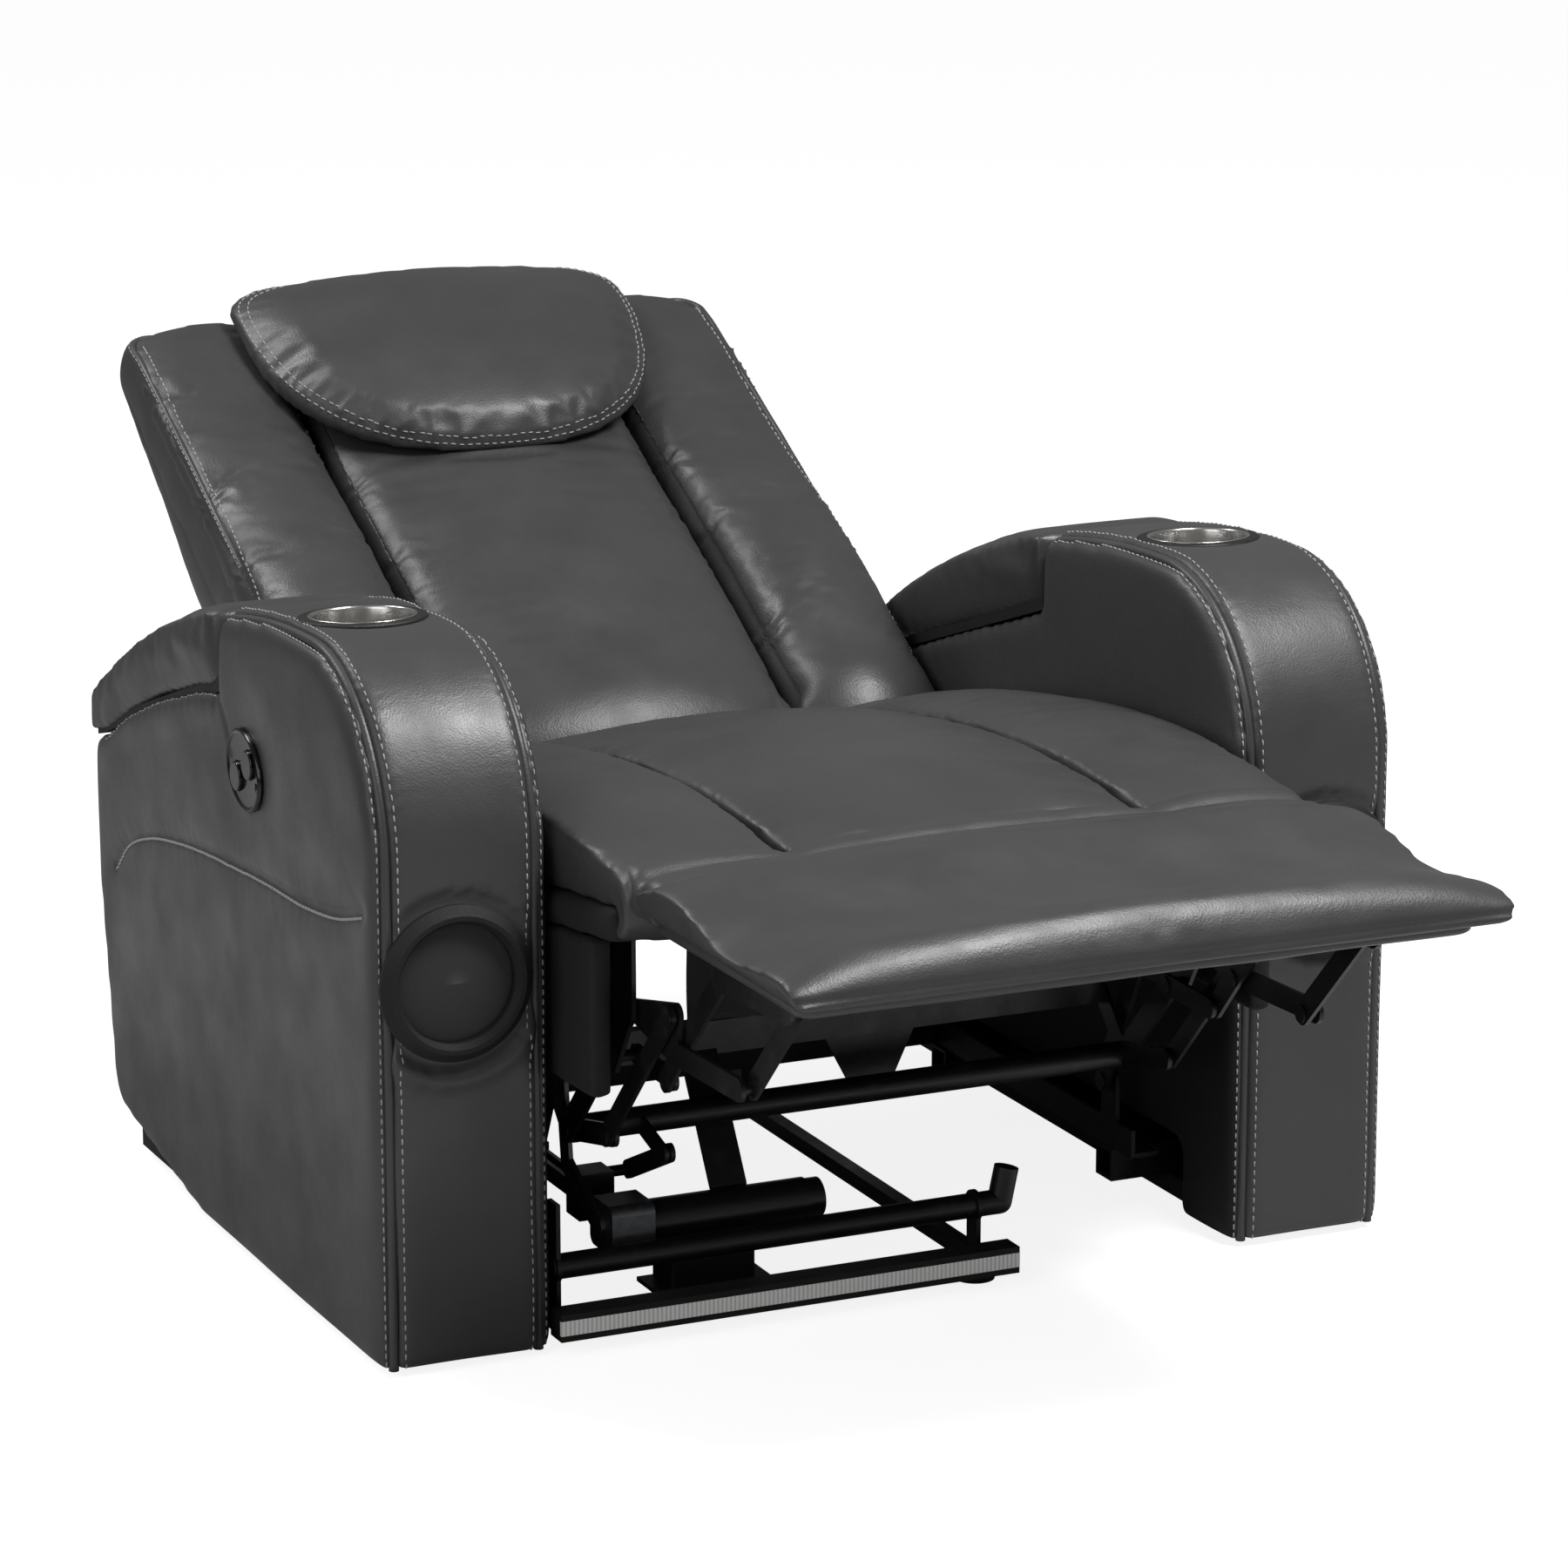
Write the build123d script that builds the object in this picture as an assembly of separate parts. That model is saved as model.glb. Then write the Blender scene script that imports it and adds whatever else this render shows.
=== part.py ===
from build123d import *
from math import asin, atan2, cos, degrees, hypot, radians, sin, sqrt
import os

# A power recliner, shown opened out: reclined back, raised footrest.
# Lengths are in millimetres. X runs across the chair, Y to the rear, Z up.
# Places are measured from the middle of the front plane of the arms, at their lower edge.

# Overall form
OVERALL_WIDTH = 960
ARM_WIDTH = 154
ARM_LENGTH = 735
ARM_HEIGHT = 592
ARM_CORNER_RADIUS = 160
ARM_TOP_DROP = 170
ARM_REAR_TURN_Z = 255
ARM_REAR_LEAN = 32
ARM_REAR_LOW_Z = 40
ARM_REAR_RADIUS = 40
ARM_FLAT_LENGTH = 466
ARM_X = (OVERALL_WIDTH - ARM_WIDTH) / 2
INNER_X = OVERALL_WIDTH / 2 - ARM_WIDTH
OUTER_X = OVERALL_WIDTH / 2

# Clearances
SEAM = 0.3
LOOSE = 2
SIDE_GAP = 6
RUN = 0.05
CUT = 40

# Upholstered arm pieces
PANEL = 12
PANEL_ROUND = 8
BAND_DEPTH = 42
BAND_CROWN = 6
BAND_ROUND = 9
INNER_RAISE_Z = 66
INNER_RAISE_Y = 92
BOARD = 18
BOARD_LOW_Z = 4
REAR_PAD_DEPTH = 67
REAR_PAD_Y = ARM_LENGTH - REAR_PAD_DEPTH

# Lid over the storage well in each arm
LID_START_SHARE = 0.514
LID_Y = LID_START_SHARE * ARM_LENGTH
LID_FRONT_Z = 503
LID_REAR_Z = 387
LID_BOARD = 14
LID_ROUND = 14
HINGE_PIN_RADIUS = 3
HINGE_KNUCKLE_RADIUS = 6
HINGE_KNUCKLE_LENGTH = 24
BIN_WALL = 4
BIN_WIDTH = 104
BIN_FRONT_GAP = 26
BIN_REAR_GAP = 32
BIN_FRONT_Y = LID_Y + BIN_FRONT_GAP
BIN_REAR_Y = REAR_PAD_Y - BIN_REAR_GAP
BIN_LOW_Z = 290

# Cup holder and speaker
CUP_SHARE = 0.3
CUP_Y = CUP_SHARE * ARM_LENGTH
CUP_RADIUS = 44
CUP_WALL = 2
CUP_DEPTH = 78
CUP_FLANGE_RADIUS = 56
CUP_FLANGE = 5
SPEAKER_OFFSET = 9
SPEAKER_X = ARM_X + SPEAKER_OFFSET
SPEAKER_Z = 332
SPEAKER_RING_RADIUS = 67
SPEAKER_RING_INNER = 51
SPEAKER_RING = 12
SPEAKER_DEPTH = 30
GRILLE_DOME = 5

# Control panel on the outer side of the left arm
CONTROL_SHARE = 0.415
CONTROL_Y = CONTROL_SHARE * ARM_LENGTH
CONTROL_Z = 449
CONTROL_LENGTH = 92
CONTROL_WIDTH = 46
CONTROL_THICK = 4
CONTROL_TILT = -28
BUTTON_RADIUS = 13
BUTTON_SPACING = 34
BUTTON_HEIGHT = 3
BUTTON_TRAVEL = 2

# Feet
GLIDE_HEIGHT = 6
GLIDE_RADIUS = 18
GLIDE_FRONT_Y = 72
GLIDE_REAR_Y = 440

# Base frame
CROSS_WIDTH = 30
CROSS_LOW_Z = 22
CROSS_WALL = 3
CROSS_FRONT_Y = 155
CROSS_REAR_Y = 495
RAIL_INSET = 36
RAIL_X = INNER_X - SIDE_GAP - RAIL_INSET
PLATE = 4
RAIL_FLANGE = 28
RAIL_WEB = 26
RAIL_FRONT_Y = 110
RAIL_REAR_Y = 545
REAR_TUBE_Y = 525
FLOOR_RAIL_WIDTH = 14
FLOOR_RAIL_X = 85
TUBE_RADIUS = 11
TUBE_WALL = 2
FRONT_TUBE_Y = 30
FRONT_TUBE_Z = 60
FRONT_TUBE_REACH = 25
FRONT_STAY_TOP_Z = 92
FRONT_STAY_LEAN = 12
LEFT_POST_TOP_Z = 118
POST_WIDTH = 20

# Light bar along the floor
LIGHT_FRONT_Y = -14
LIGHT_DEPTH = 24
LIGHT_LOW_Z = 8
LIGHT_HEIGHT = 24
LIGHT_LENGTH = 432
LIGHT_LENS_HEIGHT = 13
LIGHT_LENS_DEPTH = 3

# Power box
POWER_SHARE = 0.46
POWER_X = -POWER_SHARE * INNER_X
POWER_Y = 62
POWER_LENGTH = 80
POWER_DEPTH = 44
POWER_HEIGHT = 34
POWER_BASE = 4
POWER_BASE_MARGIN = 14
INLET_WIDTH = 24
INLET_HEIGHT = 16
INLET_DEPTH = 8

# Seat
SEAT_HALF = INNER_X - SIDE_GAP
SEAT_DEPTH = 650
SEAT_HEIGHT = 465

SEAT_THICK = 54
SEAT_LOW_DROP = 80
SEAT_NOSE_ANGLE = 180
SEAT_SEAM_SHARE = 0.516
SEAT_SEAM_X = SEAT_SEAM_SHARE * SEAT_HALF
SEAT_TUCK = 6
SEAT_BASE_DROP = 30
APRON = 20
APRON_LOW_SHARE = 0.5054
APRON_LOW_Z = APRON_LOW_SHARE * SEAT_HEIGHT
APRON_FRONT_Y = -75
APRON_REAR_Y = 500
# Along the depth, then the seams and the crown as shares of the seat height
SEAT_SHARES = (
    (0.0, 0.953, 0.965),
    (0.32, 0.979, 0.999),
    (0.65, 0.938, 0.960),
    (1.0, 0.822, 0.845),
)

# Travel of the seat on its swing links
RECLINE_TRAVEL = 130
SWING_LENGTH = 150
SWING_FRONT_Y = 90
SWING_REAR_Y = 430
SWING_TOP_SHARE = 0.5376
SWING_TOP_Z = SWING_TOP_SHARE * SEAT_HEIGHT
SWING_HALF = 11
PIVOT_RADIUS = 5
HEAD_RADIUS = 8
HEAD = 1.6
SWING_ANGLE = asin(RECLINE_TRAVEL / 2 / SWING_LENGTH)

# Back, set out along its own slope from the seam line's foot
BACK_ANGLE = 30
BACK_FOOT_Y = 640
BACK_FOOT_DROP = 54
BACK_FOOT_Z = SEAT_HEIGHT - BACK_FOOT_DROP
BACK_PIVOT_ALONG = -51
BACK_PIVOT_BELOW = 58
BACK_LENGTH = 626
BACK_SIDE_GAP = 14
BACK_HALF = INNER_X - BACK_SIDE_GAP
BACK_SEAM_X = SEAT_SEAM_X
BACK_CROWN = 45
BACK_ROLL_ANGLE = 75
BACK_TUCK = 5
BACK_BRACKET_LENGTH = 200
HUB_RADIUS = 40
# Along the length, then the seams and the crown as shares of the crown height,
# and the width as a share of the full width
BACK_SHARES = (
    (0.0, 0.30, 1.0, 1.0),
    (0.21, 0.28, 0.98, 1.0),
    (0.45, 0.16, 0.76, 1.0),
    (0.69, 0.04, 0.33, 1.0),
    (0.92, -0.10, 0.20, 0.99),
    (1.0, -0.40, 0.0, 0.96),
)
BACK_LOW_SHARE = -1.0
BACK_HIGH_SHARE = -0.84
# The outline of the rear shell: along the length, height over the crown height
SHELL_SHARES = ((0.0, -2.1), (0.04, -2.75), (0.32, -2.78), (0.62, -2.15), (1.0, -1.25))
PILLOW_WIDTH_SHARE = 0.68
PILLOW_HALF = PILLOW_WIDTH_SHARE * BACK_HALF
PILLOW_START_SHARE = 0.58
PILLOW_LENGTH = 285
PILLOW_HEIGHT = 56
# Along the length, then the underside, edge and crown as shares of the height
PILLOW_SHARES = (
    (0.0, 0.46, 0.62, 0.74),
    (0.15, 0.335, 0.56, 0.92),
    (0.45, 0.219, 0.56, 1.0),
    (0.85, 0.219, 0.48, 0.86),
    (1.0, 0.16, 0.28, 0.52),
)
# The curved outline: along the length, then the half width over the full one
PILLOW_OUTLINE = (
    (0.0, 0.0),
    (0.02, 0.30),
    (0.11, 0.59),
    (0.25, 0.80),
    (0.45, 0.94),
    (0.72, 1.0),
    (0.90, 0.97),
    (0.985, 0.80),
    (1.0, 0.60),
)

# Footrest
KNUCKLE_Y = -120
KNUCKLE_DROP = 50
KNUCKLE_Z = SEAT_HEIGHT - KNUCKLE_DROP
KNUCKLE_CLEAR = 37
FOOT_FRONT_Y = -470
FOOT_BOARD = 16
FOOT_BOARD_DROP = 17
FOOT_BOARD_LOW_Z = KNUCKLE_Z - FOOT_BOARD_DROP
FOOT_BOARD_SET_BACK = 32
FOOT_BOARD_MARGIN = 20
FOOT_PAD_THICK = 42
FOOT_HALF = SEAT_HALF
# From the rear edge to the front, then the seam height and crown over the pad's thickness
FOOT_SHARES = (
    (0.0, 0.50, 0.62),
    (0.04, 0.66, 0.80),
    (0.45, 0.60, 0.80),
    (0.85, 0.74, 1.05),
    (0.955, 0.58, 0.86),
    (1.0, 0.08, 0.18),
)

# Layers of the footrest linkage, from the side plate inwards
LAYER = 6
PLATE_INSET = 52
PLATE_X = SEAT_HALF - PLATE_INSET
LINK_X = PLATE_X - LAYER
LOWER_X = LINK_X - LAYER
UPPER_X = LOWER_X - LAYER
BACK_BRACKET_X = PLATE_X + LAYER
LINK_HALF = 10
BRACKET_HALF = 12

# Pivots of the footrest linkage with the footrest up
FRONT_PIVOT_SHARE = 0.6409
FRONT_PIVOT = (-36, FRONT_PIVOT_SHARE * SEAT_HEIGHT)
FRONT_MIDDLE_SHARE = 0.6108
FRONT_MIDDLE = (-116, FRONT_MIDDLE_SHARE * SEAT_HEIGHT)
FRONT_END_SHARE = 0.6194
FRONT_END = (-245.5, FRONT_END_SHARE * SEAT_HEIGHT)
FRONT_LUG_SHARE = 0.6817
FRONT_LUG = (-122, FRONT_LUG_SHARE * SEAT_HEIGHT)
REAR_PIVOT_SHARE = 0.5411
REAR_PIVOT = (-10, REAR_PIVOT_SHARE * SEAT_HEIGHT)
REAR_END_SHARE = 0.5376
REAR_END = (-85.6, REAR_END_SHARE * SEAT_HEIGHT)
BRACKET_REAR_DROP = 26
BRACKET_FRONT_DROP = 20
BRACKET_REAR = (-205, FOOT_BOARD_LOW_Z - BRACKET_REAR_DROP)
BRACKET_FRONT = (-335, FOOT_BOARD_LOW_Z - BRACKET_FRONT_DROP)
TORQUE_SHARE = 0.3355
TORQUE = (100, TORQUE_SHARE * SEAT_HEIGHT)
TORQUE_RADIUS = 12
JOURNAL_RADIUS = 8

# Actuator, hung from the left side plate and the torque tube
LUG_LENGTH = 56
LUG_ANGLE = 15
DRIVE_LINK_LENGTH = 100
DRIVE_PIN_Z = 100
GEARBOX_Y = 70
GEARBOX_Z = 76
GEARBOX_INSET = 12
GEARBOX_X = GEARBOX_INSET - PLATE_X
GEARBOX_WIDTH = 44
LUG_X = GEARBOX_X + GEARBOX_WIDTH + LAYER
GEARBOX_DEPTH = 50
GEARBOX_HEIGHT = 44
MOTOR_RADIUS = 19
MOTOR_LENGTH = 165
MOTOR_CAP = 14
TRACK_WIDTH = 16
TRACK_Z = 80
TRACK_END_Y = 268
TRACK_STOP = 8
SLIDER_LENGTH = 30
SLIDER_WALL = 8
SLIDER_GAP = 0.5

# Cross bar under the seat with its hanging bracket
BAR_Y = 150
BAR_LOW_SHARE = 0.4129
BAR_LOW_Z = BAR_LOW_SHARE * SEAT_HEIGHT
BAR_HEIGHT = 30
BAR_DEPTH = 14
HANGER_X = 40
HANGER_HALF = 44
HANGER_DROP = 62
STRAP_FROM_LUG = 78
STRAP_X = LUG_X + STRAP_FROM_LUG
STRAP_WIDTH = 34
KNOB_RADIUS = 13
KNOB_LENGTH = 16
KNOB_FROM_LUG = 56
KNOB_X = LUG_X + KNOB_FROM_LUG


def side(face, x_low, thickness):
    """A solid from a face drawn in side view, where across is Y and up is Z."""
    return extrude(Plane.YZ.offset(x_low) * face, amount=thickness, dir=(1, 0, 0))


def block(x_low, x_high, y_low, y_high, z_low, z_high):
    size = (x_high - x_low, y_high - y_low, z_high - z_low)
    corner = (Align.MIN, Align.MIN, Align.MIN)
    return Pos(x_low, y_low, z_low) * Box(*size, align=corner)


def rod(y, z, radius, x_low, x_high):
    return side(Pos(y, z) * Circle(radius), x_low, x_high - x_low)


def bar_face(points, radius):
    """A flat bar with round ends that runs through the points."""
    face = Sketch()
    for (y1, z1), (y2, z2) in zip(points, points[1:]):
        length = hypot(y2 - y1, z2 - z1)
        turn = degrees(atan2(z2 - z1, y2 - y1))
        middle = Pos((y1 + y2) / 2, (z1 + z2) / 2)
        face += middle * Rot(0, 0, turn) * SlotCenterToCenter(length, 2 * radius)
    return face


def outline_face(points):
    return make_face(Polyline(*points, points[0]))


def other_side(shape):
    return mirror(shape, about=Plane.YZ)


def both_sides(*shapes):
    """The pieces of one side and of the other, as separate solids."""
    pieces = []
    for shape in shapes:
        pieces += shape.solids()
        pieces += other_side(shape).solids()
    return Compound(pieces)


def group(*shapes):
    return Compound([solid for shape in shapes for solid in shape.solids()])


# Arm outline and the line that parts the lid from it
def arm_face(inset):
    radius = ARM_CORNER_RADIUS - inset
    centre_z = ARM_HEIGHT - ARM_CORNER_RADIUS
    reach = radius * sin(radians(45))
    rear_y = ARM_LENGTH - inset
    rear_z = ARM_HEIGHT - ARM_TOP_DROP - inset
    front = Line((inset, inset), (inset, centre_z))
    corner_middle = (ARM_CORNER_RADIUS - reach, centre_z + reach)
    corner = ThreePointArc((inset, centre_z), corner_middle, (ARM_CORNER_RADIUS, ARM_HEIGHT - inset))
    top = TangentArc((ARM_CORNER_RADIUS, ARM_HEIGHT - inset), (rear_y, rear_z), tangent=(1, 0))
    rear = FilletPolyline(
        (rear_y, rear_z),
        (rear_y, ARM_REAR_TURN_Z),
        (rear_y - ARM_REAR_LEAN, ARM_REAR_LOW_Z + inset),
        (ARM_FLAT_LENGTH, inset),
        (inset, inset),
        radius=ARM_REAR_RADIUS,
    )
    return make_face(front + corner + top + rear)


def lid_line(y):
    share = (y - LID_Y) / (ARM_LENGTH - LID_Y)
    return LID_FRONT_Z + share * (LID_REAR_Z - LID_FRONT_Z)


def above_lid_line(lift, front_y):
    """The side-view area over the parting line, raised by a lift."""
    high_z = ARM_HEIGHT + CUT
    rear_y = ARM_LENGTH + CUT
    return outline_face([
        (front_y, lid_line(front_y) + lift),
        (rear_y, lid_line(rear_y) + lift),
        (rear_y, high_z),
        (front_y, high_z),
    ])


LID_AREA = above_lid_line(0, LID_Y)
RAISE_AREA = outline_face([
    (INNER_RAISE_Y, -CUT),
    (ARM_LENGTH + CUT, -CUT),
    (ARM_LENGTH + CUT, INNER_RAISE_Z),
    (INNER_RAISE_Y, INNER_RAISE_Z),
])


def side_panel(x_low, outer):
    """A padded side panel, with its show edge rounded."""
    face = arm_face(0) - LID_AREA
    if not outer:
        face -= RAISE_AREA
    panel = side(face, x_low, PANEL)
    show = panel.faces().sort_by(Axis.X)[-1 if outer else 0]
    high = show.edges().filter_by(lambda edge: edge.center().Z > INNER_RAISE_Z)
    return fillet(high.filter_by(lambda edge: edge.center().Y < LID_Y), PANEL_ROUND)


STANDING = (Align.CENTER, Align.CENTER, Align.MIN)


def cup_place():
    """On the band's top, square to its slope at the cup holder."""
    reach = ARM_LENGTH - ARM_CORNER_RADIUS
    top_radius = (reach ** 2 + ARM_TOP_DROP ** 2) / (2 * ARM_TOP_DROP)
    slope = asin((CUP_Y - ARM_CORNER_RADIUS) / top_radius)
    height = ARM_HEIGHT - top_radius * (1 - cos(slope))
    return Pos(ARM_X, CUP_Y, height) * Rot(-degrees(slope), 0, 0)


def arm_band():
    """The band over the front and top, with its cup and speaker holes."""
    area = arm_face(-BAND_CROWN) - arm_face(BAND_DEPTH)
    front_area = outline_face([
        (-CUT, 0),
        (BAND_DEPTH, 0),
        (BAND_DEPTH, ARM_HEIGHT / 2),
        (LID_Y, LID_FRONT_Z - BAND_DEPTH),
        (LID_Y, ARM_HEIGHT + CUT),
        (-CUT, ARM_HEIGHT + CUT),
    ])
    low_x = INNER_X + PANEL + SEAM
    width = ARM_WIDTH - 2 * (PANEL + SEAM)
    band = side(area & front_area, low_x, width)
    front_line = band.edges().filter_by(Axis.Z).sort_by(Axis.Y)[:2]
    band = fillet(front_line, BAND_ROUND)
    band -= cup_place() * Cylinder(CUP_RADIUS + CUP_WALL + SEAM, 2 * CUP_DEPTH)
    band -= cup_place() * Cylinder(CUP_FLANGE_RADIUS + SEAM, CUP_DEPTH, align=STANDING)
    speaker_hole = Cylinder(SPEAKER_RING_INNER + SEAM, 2 * BAND_DEPTH + 2 * CUT)
    return band - Pos(SPEAKER_X, 0, SPEAKER_Z) * Rot(90, 0, 0) * speaker_hole


def cup_insert():
    flange = Cylinder(CUP_FLANGE_RADIUS, CUP_FLANGE, align=STANDING)
    flange = fillet(flange.edges().sort_by(Axis.Z)[-1], CUP_WALL)
    outer = Pos(0, 0, -CUP_DEPTH) * Cylinder(CUP_RADIUS + CUP_WALL, CUP_DEPTH, align=STANDING)
    hollow = Pos(0, 0, CUP_WALL - CUP_DEPTH) * Cylinder(CUP_RADIUS, CUP_DEPTH + CUP_FLANGE, align=STANDING)
    return cup_place() * (flange + outer - hollow)


def speaker_ring():
    """A dished bezel on the front of the arm."""
    front_y = -BAND_CROWN
    half = (SPEAKER_RING_RADIUS - SPEAKER_RING_INNER) / 2
    section = outline_face([
        (SPEAKER_RING_INNER, 0),
        (SPEAKER_RING_RADIUS, 0),
        (SPEAKER_RING_RADIUS, SPEAKER_RING / 3),
        (SPEAKER_RING_RADIUS - half, SPEAKER_RING),
        (SPEAKER_RING_INNER + half / 2, SPEAKER_RING),
        (SPEAKER_RING_INNER, SPEAKER_RING / 2),
    ])
    ring = revolve(Plane.XZ * section, axis=Axis.Z)
    return Pos(SPEAKER_X, front_y - SEAM, SPEAKER_Z) * Rot(90, 0, 0) * ring


def speaker_grille():
    """The domed grille with the speaker's basket behind it."""
    radius = SPEAKER_RING_INNER - SEAM
    dome_radius = (radius ** 2 + GRILLE_DOME ** 2) / (2 * GRILLE_DOME)
    top = (Align.CENTER, Align.CENTER, Align.MAX)
    disc = Pos(0, 0, GRILLE_DOME) * Cylinder(radius, GRILLE_DOME + SPEAKER_RING, align=top)
    dome = Pos(0, 0, GRILLE_DOME - dome_radius) * Sphere(dome_radius)
    basket = Pos(0, 0, -SPEAKER_RING) * Cylinder(radius / 2, SPEAKER_DEPTH - SPEAKER_RING, align=top)
    return Pos(SPEAKER_X, -BAND_CROWN, SPEAKER_Z) * Rot(90, 0, 0) * ((disc & dome) + basket)


def arm_rear_pad():
    rear = outline_face([
        (REAR_PAD_Y, -CUT),
        (ARM_LENGTH + CUT, -CUT),
        (ARM_LENGTH + CUT, ARM_HEIGHT),
        (REAR_PAD_Y, ARM_HEIGHT),
    ])
    low_x = INNER_X + PANEL + SEAM
    return side((arm_face(0) - LID_AREA) & rear, low_x, ARM_WIDTH - 2 * (PANEL + SEAM))


def arm_frame():
    """The boards inside the arm, butted together."""
    low_x = INNER_X + PANEL + SEAM
    high_x = OUTER_X - PANEL - SEAM
    floor_z = BOARD_LOW_Z + BOARD
    rear_y = REAR_PAD_Y - SEAM
    front_top_z = ARM_HEIGHT - ARM_CORNER_RADIUS
    shelf_high_z = BIN_LOW_Z - SEAM
    return [
        block(low_x, high_x, BAND_DEPTH, rear_y, BOARD_LOW_Z, floor_z),
        block(low_x, high_x, BAND_DEPTH, BAND_DEPTH + BOARD, floor_z, front_top_z),
        block(low_x, high_x, rear_y - BOARD, rear_y, floor_z, lid_line(rear_y) - LOOSE),
        block(low_x, high_x, BAND_DEPTH + BOARD, rear_y - BOARD, shelf_high_z - BOARD, shelf_high_z),
    ]


def storage_bin():
    def tray(margin, low_z, lift):
        front_y = BIN_FRONT_Y + margin
        rear_y = BIN_REAR_Y - margin
        return outline_face([
            (front_y, low_z),
            (rear_y, low_z),
            (rear_y, lid_line(rear_y) - LOOSE + lift),
            (front_y, lid_line(front_y) - LOOSE + lift),
        ])
    outer = side(tray(0, BIN_LOW_Z, 0), ARM_X - BIN_WIDTH / 2, BIN_WIDTH)
    inner_width = BIN_WIDTH - 2 * BIN_WALL
    return outer - side(tray(BIN_WALL, BIN_LOW_Z + BIN_WALL, CUT), ARM_X - inner_width / 2, inner_width)


def lid_pad():
    """The padded armrest lid, down to its board."""
    area = arm_face(-BAND_CROWN) & above_lid_line(LID_BOARD, LID_Y + LOOSE)
    lid = side(area, INNER_X, ARM_WIDTH)
    high = lid.faces().sort_by(Axis.X)
    edges = []
    for face in (high[0], high[-1]):
        edges += face.edges().sort_by(Axis.Z)[-1:]
    return fillet(edges, LID_ROUND)


HINGE_Y = ARM_LENGTH + HINGE_KNUCKLE_RADIUS + SEAM
HINGE_Z = LID_REAR_Z


def hinge_knuckle(offset):
    face = Pos(HINGE_Y, HINGE_Z) * (Circle(HINGE_KNUCKLE_RADIUS) - Circle(HINGE_PIN_RADIUS + RUN))
    return side(face, ARM_X + offset - HINGE_KNUCKLE_LENGTH / 2, HINGE_KNUCKLE_LENGTH)


def lid_board():
    """The lid's board, with the two hinge knuckles on its rear edge."""
    slab = above_lid_line(0, LID_Y + LOOSE) - above_lid_line(LID_BOARD - SEAM, LID_Y)
    limit = outline_face([
        (LID_Y, 0),
        (ARM_LENGTH - SEAM, 0),
        (ARM_LENGTH - SEAM, ARM_HEIGHT),
        (LID_Y, ARM_HEIGHT),
    ])
    board = side(slab & limit, INNER_X + LOOSE, ARM_WIDTH - 2 * LOOSE)
    leaf = outline_face([
        (ARM_LENGTH - LID_BOARD, lid_line(ARM_LENGTH - LID_BOARD) + LOOSE),
        (HINGE_Y, HINGE_Z + HINGE_PIN_RADIUS + RUN),
        (HINGE_Y, HINGE_Z + HINGE_KNUCKLE_RADIUS),
        (ARM_LENGTH - LID_BOARD, lid_line(ARM_LENGTH - LID_BOARD) + LID_BOARD / 2),
    ])
    for offset in (-HINGE_KNUCKLE_LENGTH, HINGE_KNUCKLE_LENGTH):
        board += side(leaf, ARM_X + offset - HINGE_KNUCKLE_LENGTH / 2, HINGE_KNUCKLE_LENGTH)
        board += hinge_knuckle(offset)
    return board


def lid_hinge():
    """The hinge pin with the leaf that holds it behind the arm."""
    length = HINGE_KNUCKLE_LENGTH - 2 * SEAM
    low_x = ARM_X - length / 2
    reach = 2 * HINGE_KNUCKLE_LENGTH
    pin = rod(HINGE_Y, HINGE_Z, HINGE_PIN_RADIUS, ARM_X - reach, ARM_X + reach)
    leaf = rod(HINGE_Y, HINGE_Z, HINGE_KNUCKLE_RADIUS, low_x, low_x + length)
    low_y = ARM_LENGTH + SEAM
    drop = 4 * HINGE_KNUCKLE_RADIUS
    leaf += block(low_x, low_x + length, low_y, low_y + HINGE_PIN_RADIUS, HINGE_Z - drop, HINGE_Z)
    return pin + leaf


# Controls on the outer face of the left arm
def control_place(along):
    turn = radians(CONTROL_TILT)
    return CONTROL_Y + along * cos(turn), CONTROL_Z + along * sin(turn)


def control_bezel():
    face = SlotOverall(CONTROL_LENGTH, CONTROL_WIDTH)
    for along in (-BUTTON_SPACING / 2, BUTTON_SPACING / 2):
        face -= Pos(along, 0) * Circle(BUTTON_RADIUS + SEAM)
    face = Pos(CONTROL_Y, CONTROL_Z) * Rot(0, 0, CONTROL_TILT) * face
    plate = side(face, OUTER_X + SEAM, CONTROL_THICK)
    edges = plate.faces().sort_by(Axis.X)[-1].outer_wire().edges()
    return other_side(fillet(edges, CONTROL_THICK / 2))


def control_button(along):
    y, z = control_place(along)
    button = rod(y, z, BUTTON_RADIUS, OUTER_X + BUTTON_TRAVEL + SEAM, OUTER_X + CONTROL_THICK + BUTTON_HEIGHT)
    edges = button.edges().sort_by(Axis.X)[-1]
    return other_side(fillet(edges, BUTTON_HEIGHT / 2))


# Base frame
def square_tube(low_x, high_x, low_y, low_z, height):
    """A square tube across the chair."""
    wall = CROSS_WALL
    high_y = low_y + CROSS_WIDTH
    outer = block(low_x, high_x, low_y, high_y, low_z, low_z + height)
    return outer - block(low_x, high_x, low_y + wall, high_y - wall, low_z + wall, low_z + height - wall)


def cross_tubes():
    """Short tubes from the rails into the arms, and one between the rails at the rear."""
    half = CROSS_WIDTH / 2
    reach = OUTER_X - PANEL - LOOSE
    tubes = []
    for y in (CROSS_FRONT_Y, CROSS_REAR_Y):
        stub = square_tube(RAIL_X - PLATE, reach, y - half, CROSS_LOW_Z, CROSS_WIDTH)
        tubes += [stub, other_side(stub)]
    between = RAIL_X - SEAM
    return tubes + [square_tube(-between, between, REAR_TUBE_Y - half, RAIL_Z, RAIL_WEB)]


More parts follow.
